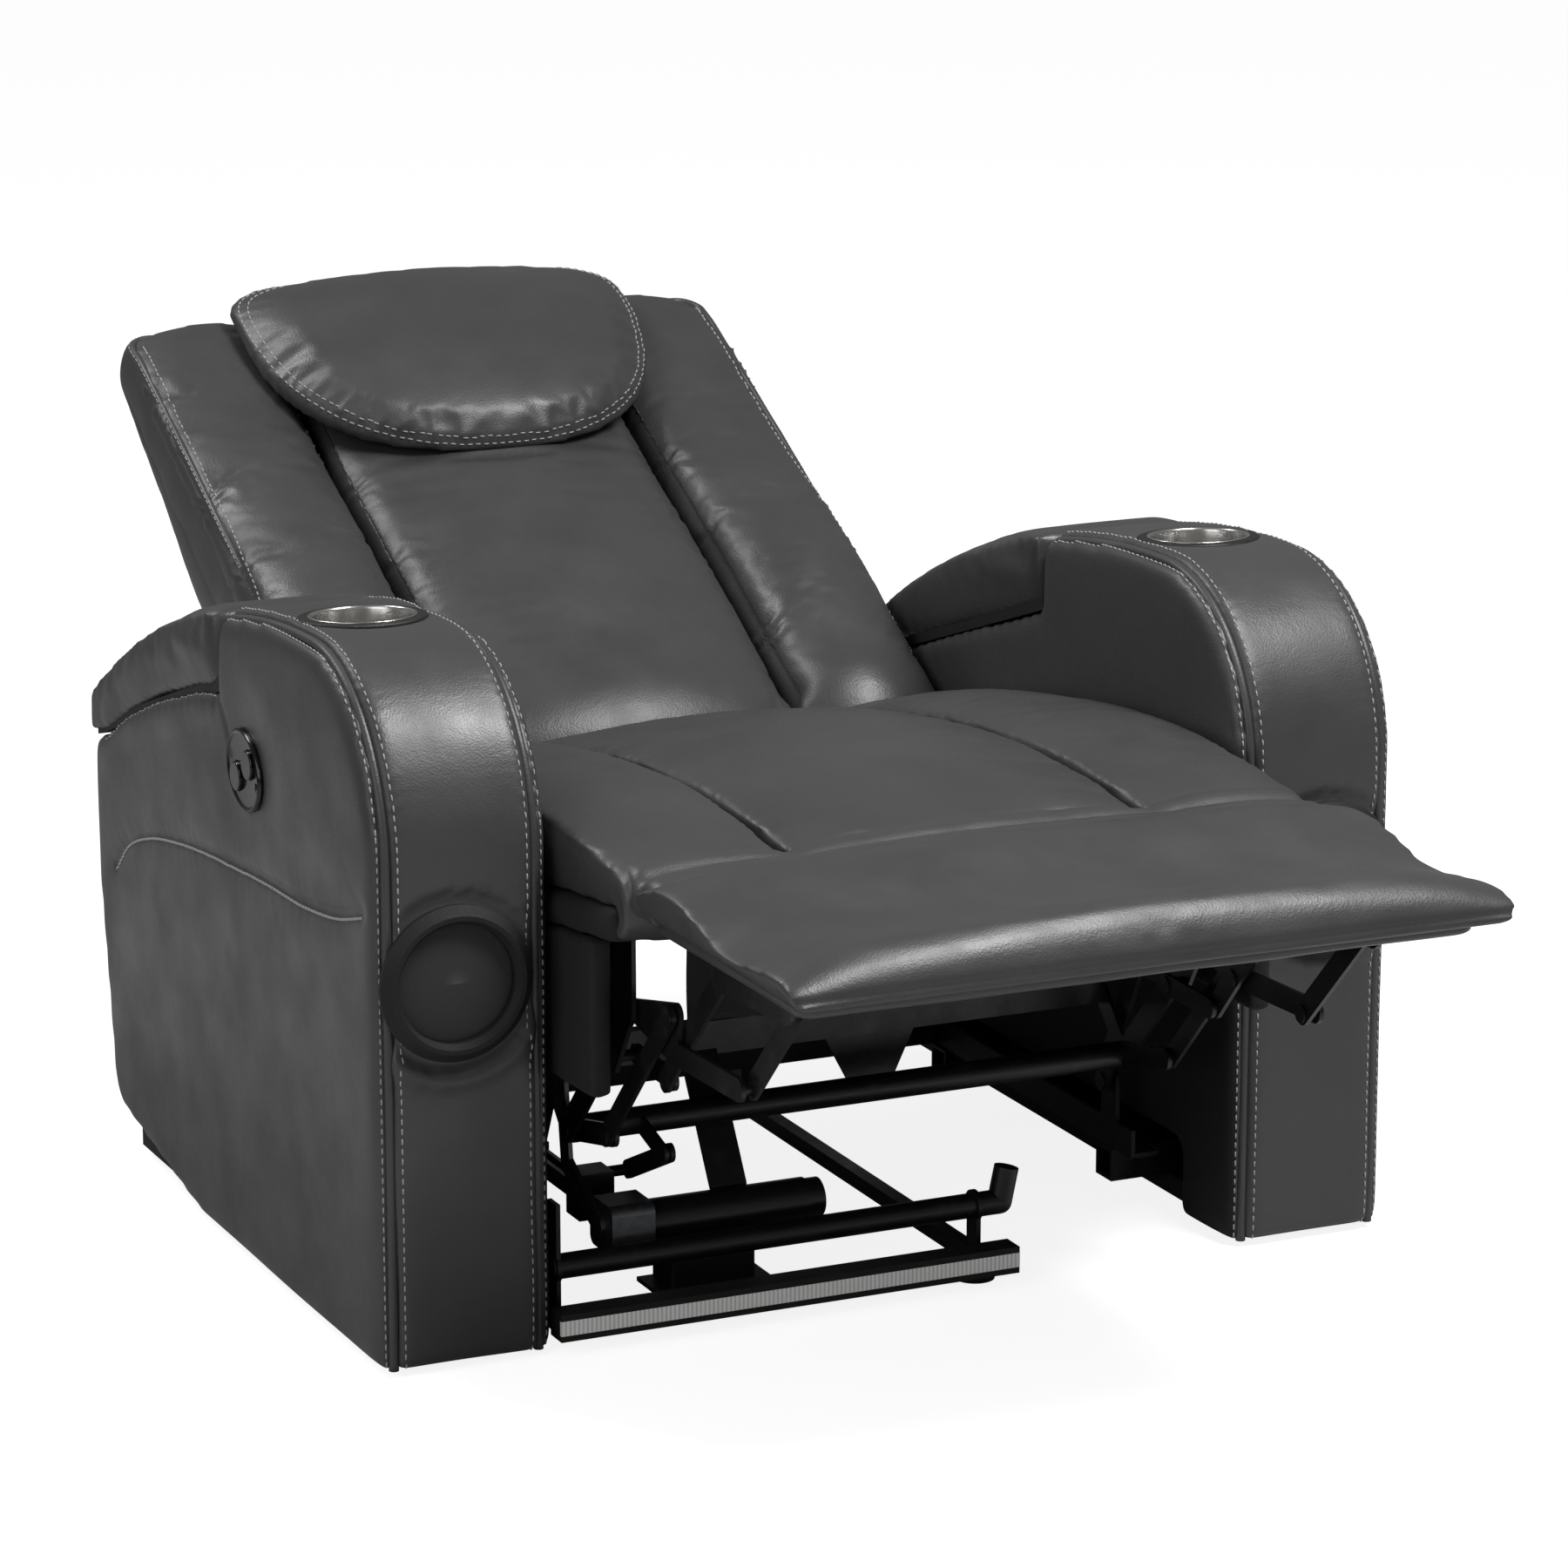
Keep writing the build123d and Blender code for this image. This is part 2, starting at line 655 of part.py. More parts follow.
RAIL_Z = CROSS_LOW_Z + CROSS_WIDTH
SWING_REACH = SWING_LENGTH * sin(SWING_ANGLE)
SWING_LOW_Z = SWING_TOP_Z - SWING_LENGTH * cos(SWING_ANGLE)
SWING_X = PLATE_X + 2 * LAYER - PLATE


def base_rail():
    """An angle rail with the lower pivots of the swing links."""
    web = outline_face([
        (RAIL_FRONT_Y, RAIL_Z),
        (RAIL_REAR_Y, RAIL_Z),
        (RAIL_REAR_Y, RAIL_Z + RAIL_WEB),
        (RAIL_FRONT_Y, RAIL_Z + RAIL_WEB),
    ])
    for y in (SWING_FRONT_Y, SWING_REAR_Y):
        pivot = (y + SWING_REACH, SWING_LOW_Z)
        half = POST_WIDTH / 2 + PLATE
        web += bar_face([(pivot[0], RAIL_Z + half), pivot], half)
    rail = side(web, RAIL_X, PLATE)
    rail += block(RAIL_X, RAIL_X + RAIL_FLANGE, RAIL_FRONT_Y, RAIL_REAR_Y, RAIL_Z, RAIL_Z + PLATE)
    for y in (SWING_FRONT_Y, SWING_REAR_Y):
        pivot_y = y + SWING_REACH
        rail += rod(pivot_y, SWING_LOW_Z, PIVOT_RADIUS, SWING_X - SEAM - HEAD, RAIL_X + PLATE)
        rail += rod(pivot_y, SWING_LOW_Z, HEAD_RADIUS, SWING_X - SEAM - HEAD, SWING_X - SEAM)
    return rail


def swing_link(y):
    top = (y, SWING_TOP_Z)
    low = (y + SWING_REACH, SWING_LOW_Z)
    face = bar_face([top, low], SWING_HALF) - Pos(*low) * Circle(PIVOT_RADIUS + RUN)
    return side(face, SWING_X, PLATE) + rod(*top, HEAD_RADIUS, SWING_X + PLATE, SWING_X + PLATE + HEAD)


def floor_frame():
    """Rails along the floor that carry the front tube and the light bar."""
    low_z = CROSS_LOW_Z - FLOOR_RAIL_WIDTH
    front_y = LIGHT_FRONT_Y + LIGHT_DEPTH
    half = FLOOR_RAIL_WIDTH / 2
    left_x = FLOOR_RAIL_WIDTH - INNER_X
    rails = []
    for x, rear_y, top_z in (
            (left_x, CROSS_FRONT_Y, LEFT_POST_TOP_Z), (FLOOR_RAIL_X, REAR_TUBE_Y, FRONT_TUBE_Z)):
        rail = block(x - half, x + half, front_y, rear_y + CROSS_WIDTH / 2, low_z, CROSS_LOW_Z)
        low_y = FRONT_TUBE_Y - POST_WIDTH / 2
        post = block(x - PLATE / 2, x + PLATE / 2, low_y, low_y + POST_WIDTH, CROSS_LOW_Z, top_z)
        post += rod(FRONT_TUBE_Y, FRONT_TUBE_Z, POST_WIDTH / 2 + PLATE, x - PLATE / 2, x + PLATE / 2)
        post -= rod(FRONT_TUBE_Y, FRONT_TUBE_Z, TUBE_RADIUS, x - PLATE, x + PLATE)
        rails.append(rail + post)
    rear_y = REAR_TUBE_Y - CROSS_WIDTH / 2
    rails[-1] += block(
        FLOOR_RAIL_X - half, FLOOR_RAIL_X + half, rear_y, rear_y + CROSS_WIDTH, CROSS_LOW_Z, RAIL_Z)
    return rails


def front_tube():
    """The tube behind the light bar, with the stay that stands at its right end."""
    left_x = FLOOR_RAIL_WIDTH - INNER_X - PLATE
    right_x = FLOOR_RAIL_X + FRONT_TUBE_REACH
    outer = rod(FRONT_TUBE_Y, FRONT_TUBE_Z, TUBE_RADIUS, left_x, right_x)
    tube = outer - rod(FRONT_TUBE_Y, FRONT_TUBE_Z, TUBE_RADIUS - TUBE_WALL, left_x, right_x)
    height = FRONT_STAY_TOP_Z - FRONT_TUBE_Z
    foot = Pos(right_x, FRONT_TUBE_Y, FRONT_TUBE_Z) * Rot(0, FRONT_STAY_LEAN, 0)
    stay = foot * Cylinder(TUBE_RADIUS, height, align=STANDING) + foot * Sphere(TUBE_RADIUS)
    return tube + stay


LIGHT_LOW_X = LOOSE - INNER_X
LIGHT_HIGH_X = LIGHT_LOW_X + LIGHT_LENGTH


def light_slot_z():
    middle = LIGHT_LOW_Z + LIGHT_HEIGHT / 2
    return middle - LIGHT_LENS_HEIGHT / 2, middle + LIGHT_LENS_HEIGHT / 2


def light_housing():
    high_z = LIGHT_LOW_Z + LIGHT_HEIGHT
    rear_y = LIGHT_FRONT_Y + LIGHT_DEPTH
    body = block(LIGHT_LOW_X, LIGHT_HIGH_X, LIGHT_FRONT_Y, rear_y, LIGHT_LOW_Z, high_z)
    low, high = light_slot_z()
    return body - block(LIGHT_LOW_X, LIGHT_HIGH_X, LIGHT_FRONT_Y, LIGHT_FRONT_Y + LIGHT_LENS_DEPTH, low, high)


def light_lens():
    low, high = light_slot_z()
    return block(LIGHT_LOW_X, LIGHT_HIGH_X, LIGHT_FRONT_Y - SEAM, LIGHT_FRONT_Y + LIGHT_LENS_DEPTH, low, high)


def power_box():
    """The power box on its base plate, with the inlet socket on its rear face."""
    low_x = POWER_X - POWER_LENGTH / 2
    low_y = POWER_Y
    base_z = CROSS_LOW_Z - FLOOR_RAIL_WIDTH
    high_z = base_z + POWER_BASE + POWER_HEIGHT
    box = block(low_x, low_x + POWER_LENGTH, low_y, low_y + POWER_DEPTH, base_z + POWER_BASE, high_z)
    box = fillet(box.edges().filter_by(Axis.Z), POWER_BASE)
    base_front_y = LIGHT_FRONT_Y + LIGHT_DEPTH
    box += block(
        low_x - POWER_BASE_MARGIN, low_x + POWER_LENGTH + POWER_BASE_MARGIN,
        base_front_y, low_y + POWER_DEPTH, base_z, base_z + POWER_BASE)
    inlet_z = high_z - INLET_HEIGHT - POWER_BASE
    inlet = block(
        POWER_X - INLET_WIDTH / 2, POWER_X + INLET_WIDTH / 2,
        low_y + POWER_DEPTH - INLET_DEPTH, low_y + POWER_DEPTH, inlet_z, inlet_z + INLET_HEIGHT)
    return box - inlet


def glides():
    places = []
    for y in (GLIDE_FRONT_Y, GLIDE_REAR_Y):
        for x in (-ARM_X, ARM_X):
            places.append((x, y, -GLIDE_HEIGHT, BOARD_LOW_Z))
    front_y = LIGHT_FRONT_Y + LIGHT_DEPTH + GLIDE_RADIUS
    places.append((FLOOR_RAIL_X, front_y, -GLIDE_HEIGHT, CROSS_LOW_Z - FLOOR_RAIL_WIDTH))
    feet = []
    for x, y, low_z, high_z in places:
        feet.append(Pos(x, y, low_z) * Cylinder(GLIDE_RADIUS, high_z - low_z, align=STANDING))
    return feet


# Seat
def back_point(along, height):
    """A point of the back's own slope, as Y and Z."""
    turn = radians(BACK_ANGLE)
    y = BACK_FOOT_Y + along * cos(turn) - height * sin(turn)
    z = BACK_FOOT_Z + along * sin(turn) + height * cos(turn)
    return y, z


PIVOT = back_point(BACK_PIVOT_ALONG, -BACK_PIVOT_BELOW)
ROLL_RADIUS = BACK_CROWN + BACK_PIVOT_BELOW


def stuffed_section(low_x, high_x, low, edge, crown, tuck):
    """A crosswise section: flat below, drawn in at the sides and arched on top."""
    middle = (low_x + high_x) / 2
    sides = Polyline((low_x, edge), (low_x + tuck, low), (high_x - tuck, low), (high_x, edge))
    return make_face(sides + ThreePointArc((high_x, edge), (middle, crown), (low_x, edge)))


def seat_low_z(y):
    """The height of the seat cushion's lower face, which slopes to the rear."""
    share = (y - KNUCKLE_Y) / SEAT_DEPTH
    return SEAT_HEIGHT - SEAT_THICK - share * SEAT_LOW_DROP


def seat_panel(low_x, high_x):
    """A stuffed seat panel with a round nose over the footrest's knuckle."""
    sections = []
    for along, edge, crown in SEAT_SHARES:
        y = KNUCKLE_Y + along * SEAT_DEPTH
        edge_z, crown_z = edge * SEAT_HEIGHT, crown * SEAT_HEIGHT
        face = stuffed_section(low_x, high_x, seat_low_z(y), edge_z, crown_z, SEAT_TUCK)
        sections.append(Plane.XZ.offset(-y) * face)
    panel = loft(sections)
    _, edge, crown = SEAT_SHARES[0]
    nose = stuffed_section(low_x, high_x, KNUCKLE_Z, edge * SEAT_HEIGHT, crown * SEAT_HEIGHT, SEAT_TUCK)
    axis = Axis((0, KNUCKLE_Y, KNUCKLE_Z), (-1, 0, 0))
    panel += revolve(Plane.XZ.offset(-KNUCKLE_Y) * nose, axis=axis, revolution_arc=-SEAT_NOSE_ANGLE)
    return panel - rod(*PIVOT, ROLL_RADIUS + LOOSE, low_x - CUT, high_x + CUT)


def seat_base():
    """The padded base under the three seat panels, with its deck board."""
    ys = [KNUCKLE_Y + LOOSE, KNUCKLE_Y + SEAT_DEPTH]
    top = [(y, seat_low_z(y) - SEAM) for y in ys]
    low = [(y, seat_low_z(y) - SEAT_BASE_DROP) for y in reversed(ys)]
    base = side(outline_face(top + low), -SEAT_HALF, 2 * SEAT_HALF)
    return base - rod(*PIVOT, ROLL_RADIUS + LOOSE, -OUTER_X, OUTER_X)


def seat_apron():
    ys = [APRON_FRONT_Y, APRON_REAR_Y]
    top = [(y, seat_low_z(y) - SEAT_BASE_DROP - SEAM) for y in ys]
    low = [(APRON_REAR_Y, APRON_LOW_Z), (APRON_FRONT_Y, APRON_LOW_Z)]
    apron = side(outline_face(top + low), SEAT_HALF - APRON, APRON)
    return fillet(apron.edges().filter_by(Axis.X).sort_by(Axis.Y)[:2], SEAT_TUCK)


def side_plate():
    """The side plate with its hanging bar, its front and rear pivots and the back's hinge ear."""
    reach = LINK_HALF + HEAD
    ys = [FRONT_PIVOT[0] - reach, APRON_REAR_Y]
    top = [(y, seat_low_z(y) - SEAT_BASE_DROP - SEAM) for y in ys]
    low_z = SWING_TOP_Z - SWING_HALF - HEAD
    rear_low_z = APRON_LOW_Z - 2 * SWING_HALF
    low = [(APRON_REAR_Y, rear_low_z), (SWING_REAR_Y, low_z)]
    low += [(REAR_PIVOT[0], low_z), (FRONT_PIVOT[0] - reach, FRONT_PIVOT[1])]
    face = outline_face(top + low)
    face += bar_face([FRONT_PIVOT, TORQUE], LINK_HALF + HEAD)
    ear_foot = (PIVOT[0] - SWING_HALF * 2, APRON_LOW_Z - SWING_HALF)
    face += bar_face([(APRON_REAR_Y - SWING_HALF, APRON_LOW_Z - SWING_HALF), ear_foot, PIVOT], BRACKET_HALF)
    face += bar_face([TORQUE, (BAR_Y, BAR_LOW_Z + BAR_HEIGHT / 2), (BAR_Y, low_z)], LINK_HALF)
    face -= Pos(*TORQUE) * Circle(JOURNAL_RADIUS + RUN)
    plate = side(face, PLATE_X, PLATE)
    for place, link_x in ((FRONT_PIVOT, LINK_X), (REAR_PIVOT, UPPER_X)):
        plate += rod(*place, PIVOT_RADIUS, link_x - SEAM - HEAD, PLATE_X)
        plate += rod(*place, HEAD_RADIUS, link_x - SEAM - HEAD, link_x - SEAM)
    for y in (SWING_FRONT_Y, SWING_REAR_Y):
        plate += rod(y, SWING_TOP_Z, HEAD_RADIUS, PLATE_X + PLATE, SWING_X - SEAM)
    plate += rod(*PIVOT, PIVOT_RADIUS, PLATE_X + PLATE, BACK_BRACKET_X + PLATE + SEAM + HEAD)
    plate += rod(*PIVOT, HEAD_RADIUS, BACK_BRACKET_X + PLATE + SEAM, BACK_BRACKET_X + PLATE + SEAM + HEAD)
    return plate


def seat_cross_bar():
    """A flat bar between the side plates, with the bracket that hangs from it."""
    low_y = BAR_Y - BAR_DEPTH / 2
    bar = block(-PLATE_X, PLATE_X, low_y, low_y + BAR_DEPTH, BAR_LOW_Z, BAR_LOW_Z + BAR_HEIGHT)
    bracket = outline_face([
        (HANGER_X - HANGER_HALF, BAR_LOW_Z),
        (HANGER_X + HANGER_HALF, BAR_LOW_Z),
        (HANGER_X + HANGER_HALF / 3, BAR_LOW_Z - HANGER_DROP),
        (HANGER_X - HANGER_HALF / 4, BAR_LOW_Z - HANGER_DROP),
    ])
    plane = Plane.XZ.offset(-BAR_Y)
    bar += extrude(plane * bracket, amount=PLATE / 2, both=True)
    knob = Cylinder(KNOB_RADIUS, KNOB_LENGTH, align=STANDING)
    knob = fillet(knob.edges().sort_by(Axis.Z)[-1], HEAD)
    bar += Pos(KNOB_X, low_y, BAR_LOW_Z + BAR_HEIGHT / 2) * Rot(90, 0, 0) * knob
    return bar + motor_strap()


def motor_strap():
    """A bent strap from the bar down to the top of the motor."""
    top = (BAR_Y - BAR_DEPTH / 2 + HEAD, BAR_LOW_Z + PLATE)
    motor_z = GEARBOX_Z - HEAD
    run = (top[0] - GEARBOX_Y, top[1] - motor_z)
    share = (MOTOR_RADIUS + PLATE / 2 + SEAM) / hypot(*run)
    foot = (GEARBOX_Y + share * run[0], motor_z + share * run[1])
    low_x = STRAP_X - STRAP_WIDTH / 2
    return side(bar_face([foot, top], PLATE / 2), low_x, STRAP_WIDTH)


# Footrest linkage
CRANK_END = (TORQUE[0] + FRONT_LUG[0] - FRONT_PIVOT[0], TORQUE[1] + FRONT_LUG[1] - FRONT_PIVOT[1])


def front_link():
    """The long link: a bar to the upper link's pivot with a lug for the drive bar."""
    face = bar_face([FRONT_PIVOT, FRONT_MIDDLE, FRONT_END], LINK_HALF)
    face += bar_face([FRONT_PIVOT, FRONT_LUG, FRONT_MIDDLE], LINK_HALF)
    face -= Pos(*FRONT_PIVOT) * Circle(PIVOT_RADIUS + RUN)
    link = side(face, LINK_X, PLATE)
    link += rod(*FRONT_MIDDLE, PIVOT_RADIUS, LOWER_X - SEAM - HEAD, LINK_X)
    link += rod(*FRONT_MIDDLE, HEAD_RADIUS, LOWER_X - SEAM - HEAD, LOWER_X - SEAM)
    link += rod(*FRONT_END, PIVOT_RADIUS, UPPER_X - SEAM - HEAD, LINK_X)
    link += rod(*FRONT_END, HEAD_RADIUS, UPPER_X - SEAM - HEAD, UPPER_X - SEAM)
    high_x = PLATE_X + PLATE + SEAM + HEAD
    link += rod(*FRONT_LUG, PIVOT_RADIUS, LINK_X + PLATE, high_x)
    return link + rod(*FRONT_LUG, HEAD_RADIUS, high_x - HEAD, high_x)


def lower_link():
    face = bar_face([REAR_END, FRONT_MIDDLE, BRACKET_REAR], LINK_HALF)
    face -= Pos(*FRONT_MIDDLE) * Circle(PIVOT_RADIUS + RUN)
    link = side(face, LOWER_X, PLATE)
    link += rod(*REAR_END, HEAD_RADIUS, LOWER_X + PLATE, LOWER_X + PLATE + HEAD / 2)
    link += rod(*BRACKET_REAR, HEAD_RADIUS, LOWER_X - HEAD / 2, LOWER_X)
    return link


def rear_link():
    """The short link, with the stub of the pivot it shares with the lower link."""
    face = bar_face([REAR_PIVOT, REAR_END], LINK_HALF - HEAD / 2)
    face -= Pos(*REAR_PIVOT) * Circle(PIVOT_RADIUS + RUN)
    stub = rod(*REAR_END, HEAD_RADIUS, UPPER_X + PLATE, LOWER_X - SEAM)
    return side(face, UPPER_X, PLATE) + stub


def upper_link():
    face = bar_face([FRONT_END, BRACKET_FRONT], LINK_HALF) - Pos(*FRONT_END) * Circle(PIVOT_RADIUS + RUN)
    return side(face, UPPER_X, PLATE) + rod(*BRACKET_FRONT, HEAD_RADIUS, UPPER_X - HEAD / 2, UPPER_X)


def drive_bar():
    """The bar between the crank and the front link, beside the hanging bar."""
    face = bar_face([FRONT_LUG, CRANK_END], LINK_HALF - HEAD / 2)
    face -= Pos(*FRONT_LUG) * Circle(PIVOT_RADIUS + RUN)
    return side(face, PLATE_X, PLATE) + rod(*CRANK_END, HEAD_RADIUS, PLATE_X + PLATE, PLATE_X + PLATE + HEAD)


def footrest_bracket():
    """A plate under the footrest's board with the two link pivots and a bent flange."""
    high_z = FOOT_BOARD_LOW_Z - SEAM
    face = bar_face([BRACKET_REAR, BRACKET_FRONT], BRACKET_HALF)
    face += outline_face([
        (BRACKET_REAR[0] + BRACKET_HALF, high_z),
        (BRACKET_FRONT[0] - 3 * BRACKET_HALF, high_z),
        (BRACKET_FRONT[0] - BRACKET_HALF, BRACKET_FRONT[1]),
        (BRACKET_REAR[0] + BRACKET_HALF, BRACKET_REAR[1]),
    ])
    limit = outline_face([
        (FOOT_FRONT_Y, 0),
        (0, 0),
        (0, high_z),
        (FOOT_FRONT_Y, high_z),
    ])
    bracket = side(face & limit, LINK_X, PLATE)
    front_y = BRACKET_FRONT[0] - 3 * BRACKET_HALF
    rear_y = BRACKET_REAR[0] + BRACKET_HALF
    bracket += block(LINK_X + PLATE, LINK_X + 2 * BRACKET_HALF, front_y, rear_y, high_z - PLATE, high_z)
    bracket += rod(*BRACKET_REAR, HEAD_RADIUS, LOWER_X + PLATE + SEAM, LINK_X)
    return bracket + rod(*BRACKET_FRONT, HEAD_RADIUS, UPPER_X + PLATE + SEAM, LINK_X)


def footrest_pad():
    rear_y = KNUCKLE_Y - KNUCKLE_CLEAR
    length = rear_y - FOOT_FRONT_Y
    low_z = FOOT_BOARD_LOW_Z + FOOT_BOARD + SEAM
    sections = []
    for along, edge, crown in FOOT_SHARES:
        edge_z, crown_z = low_z + edge * FOOT_PAD_THICK, low_z + crown * FOOT_PAD_THICK
        face = stuffed_section(-FOOT_HALF, FOOT_HALF, low_z, edge_z, crown_z, SEAT_TUCK)
        sections.append(Plane.XZ.offset(-rear_y + along * length) * face)
    return loft(sections)


def footrest_board():
    half = FOOT_HALF - FOOT_BOARD_MARGIN
    board = block(
        -half, half, FOOT_FRONT_Y + FOOT_BOARD_SET_BACK, KNUCKLE_Y - KNUCKLE_CLEAR - LOOSE,
        FOOT_BOARD_LOW_Z, FOOT_BOARD_LOW_Z + FOOT_BOARD)
    return fillet(board.edges().filter_by(Axis.Z), FOOT_BOARD / 2)


# Drive
def torque_tube():
    """The cross tube with a crank at each end and the lug that the actuator pulls."""
    outer = rod(*TORQUE, TORQUE_RADIUS, -LINK_X - PLATE, LINK_X + PLATE)
    tube = outer - rod(*TORQUE, TORQUE_RADIUS - TUBE_WALL, -LINK_X, LINK_X)
    end = rod(*TORQUE, JOURNAL_RADIUS, LINK_X + PLATE, PLATE_X + PLATE + HEAD)
    crank = side(bar_face([TORQUE, CRANK_END], LINK_HALF), LINK_X, PLATE)
    crank += rod(*CRANK_END, HEAD_RADIUS, LINK_X + PLATE, PLATE_X - SEAM)
    for piece in (end, crank):
        tube += piece
        tube += other_side(piece)
    return tube + side(bar_face([TORQUE, LUG_END], LINK_HALF - HEAD), LUG_X, PLATE)


def lug_end(turn):
    """The end of the torque tube's lug, once the tube has turned by an angle."""
    angle = radians(LUG_ANGLE + turn)
    return TORQUE[0] - LUG_LENGTH * cos(angle), TORQUE[1] - LUG_LENGTH * sin(angle)


def drive_pin(turn):
    """The slider's pin that holds the drive link's other end."""
    y, z = lug_end(turn)
    return y + sqrt(DRIVE_LINK_LENGTH ** 2 - (z - DRIVE_PIN_Z) ** 2), DRIVE_PIN_Z


LUG_END = lug_end(0)
DRIVE_PIN = drive_pin(0)
TRACK_X = GEARBOX_X + GEARBOX_WIDTH / 2
DRIVE_LINK_X = LUG_X + LAYER


def gearbox():
    """The gearbox with its hanger, which bolts under the seat's cross bar."""
    low_y = GEARBOX_Y - GEARBOX_DEPTH / 2
    low_z = GEARBOX_Z - GEARBOX_HEIGHT / 2
    high_x = GEARBOX_X + GEARBOX_WIDTH
    box = block(GEARBOX_X + PLATE, high_x, low_y, low_y + GEARBOX_DEPTH, low_z, low_z + GEARBOX_HEIGHT)
    box = fillet(box.edges().filter_by(Axis.X), GEARBOX_HEIGHT / 5)
    elbow = (BAR_Y - LINK_HALF, TORQUE[1] - HANGER_HALF)
    top = (BAR_Y, BAR_LOW_Z - SEAM - LINK_HALF)
    return box + side(bar_face([(GEARBOX_Y, GEARBOX_Z), elbow, top], LINK_HALF), GEARBOX_X, PLATE)


def motor():
    start_x = GEARBOX_X + GEARBOX_WIDTH
    body = rod(GEARBOX_Y, GEARBOX_Z - HEAD, MOTOR_RADIUS, start_x, start_x + MOTOR_LENGTH - MOTOR_CAP)
    cap = rod(GEARBOX_Y, GEARBOX_Z - HEAD, MOTOR_RADIUS - HEAD, start_x, start_x + MOTOR_LENGTH)
    return body + cap


def track():
    low_y = GEARBOX_Y + GEARBOX_DEPTH / 2
    half = TRACK_WIDTH / 2
    bar = block(TRACK_X - half, TRACK_X + half, low_y, TRACK_END_Y, TRACK_Z - half, TRACK_Z + half)
    slot = half / 2
    bar -= block(TRACK_X - slot, TRACK_X + slot, low_y, TRACK_END_Y, TRACK_Z + slot, TRACK_Z + half)
    stop = half + PLATE
    return bar + block(
        TRACK_X - stop, TRACK_X + stop, TRACK_END_Y - TRACK_STOP, TRACK_END_Y, TRACK_Z - stop, TRACK_Z + stop)


def drive_slider():
    """The nut block that runs on the track, with the drive link's pin."""
    window = TRACK_WIDTH / 2 + SLIDER_GAP
    half = window + SLIDER_WALL
    low_y = DRIVE_PIN[0] - SLIDER_LENGTH / 2
    high_y = low_y + SLIDER_LENGTH
    body = block(TRACK_X - half, TRACK_X + half, low_y, high_y, TRACK_Z - half, DRIVE_PIN_Z + PIVOT_RADIUS)
    body -= block(
        TRACK_X - window, TRACK_X + window, low_y - CUT, high_y + CUT, TRACK_Z - window, TRACK_Z + window)
    end_x = DRIVE_LINK_X + PLATE + SEAM + HEAD
    body += rod(*DRIVE_PIN, PIVOT_RADIUS, TRACK_X + half, end_x)
    return body + rod(*DRIVE_PIN, HEAD_RADIUS, end_x - HEAD, end_x)


def drive_link():
    face = bar_face([DRIVE_PIN, LUG_END], LINK_HALF - HEAD) - Pos(*DRIVE_PIN) * Circle(PIVOT_RADIUS + RUN)
    stub = rod(*LUG_END, PIVOT_RADIUS, LUG_X + PLATE + SEAM, DRIVE_LINK_X)
    return side(face, DRIVE_LINK_X, PLATE) + stub


# Back
def back_plane(along):
    turn = radians(BACK_ANGLE)
    y, z = back_point(along, 0)
    return Plane(origin=(0, y, z), x_dir=(1, 0, 0), z_dir=(0, -cos(turn), -sin(turn)))


def back_base(along):
    """The height of the panels' rear face, which comes forward to the top."""
    return (BACK_LOW_SHARE + along * (BACK_HIGH_SHARE - BACK_LOW_SHARE)) * BACK_CROWN


def back_panel(low_x, high_x):
    """A stuffed panel of the back that rolls under at its foot, about the hinge."""
    sections = []
    for along, edge, crown, width in BACK_SHARES:
        face = stuffed_section(
            low_x * width, high_x * width, back_base(along), edge * BACK_CROWN, crown * BACK_CROWN, BACK_TUCK)
        sections.append(back_plane(BACK_PIVOT_ALONG + along * BACK_LENGTH) * face)
    panel = loft(sections)
    _, edge, crown, _ = BACK_SHARES[0]
    foot = stuffed_section(
        low_x, high_x, -BACK_PIVOT_BELOW, edge * BACK_CROWN, crown * BACK_CROWN, BACK_TUCK)
    axis = Axis((0, *PIVOT), (1, 0, 0))
    panel += revolve(back_plane(BACK_PIVOT_ALONG) * foot, axis=axis, revolution_arc=BACK_ROLL_ANGLE)
    hub_x = PLATE_X - LOOSE
    hub = rod(*PIVOT, HUB_RADIUS, hub_x, BACK_BRACKET_X + PLATE + 2 * LOOSE + HEAD)
    return panel - hub - other_side(hub)


def back_bracket(margin):
    """The bar from the hinge up the back's shell."""
    end = back_point(BACK_PIVOT_ALONG + BACK_BRACKET_LENGTH, -2 * BACK_CROWN)
    face = bar_face([PIVOT, end], BRACKET_HALF + margin)
    return side(face, BACK_BRACKET_X - margin, PLATE + 2 * margin)


def back_shell():
    """The padded shell behind the panels, which thins to the top."""
    rear = [back_point(BACK_PIVOT_ALONG + s * BACK_LENGTH, h * BACK_CROWN) for s, h in SHELL_SHARES]
    front = []
    for along in (SHELL_SHARES[-1][0], SHELL_SHARES[0][0]):
        front.append(back_point(BACK_PIVOT_ALONG + along * BACK_LENGTH, back_base(along) - SEAM))
    face = outline_face(rear + front)
    shell = side(face, -BACK_HALF, 2 * BACK_HALF)
    hub_x = PLATE_X - LOOSE
    hub = rod(*PIVOT, HUB_RADIUS, hub_x, BACK_BRACKET_X + PLATE + 2 * LOOSE + HEAD)
    slot = back_bracket(0) + hub
    return shell - slot - other_side(slot)


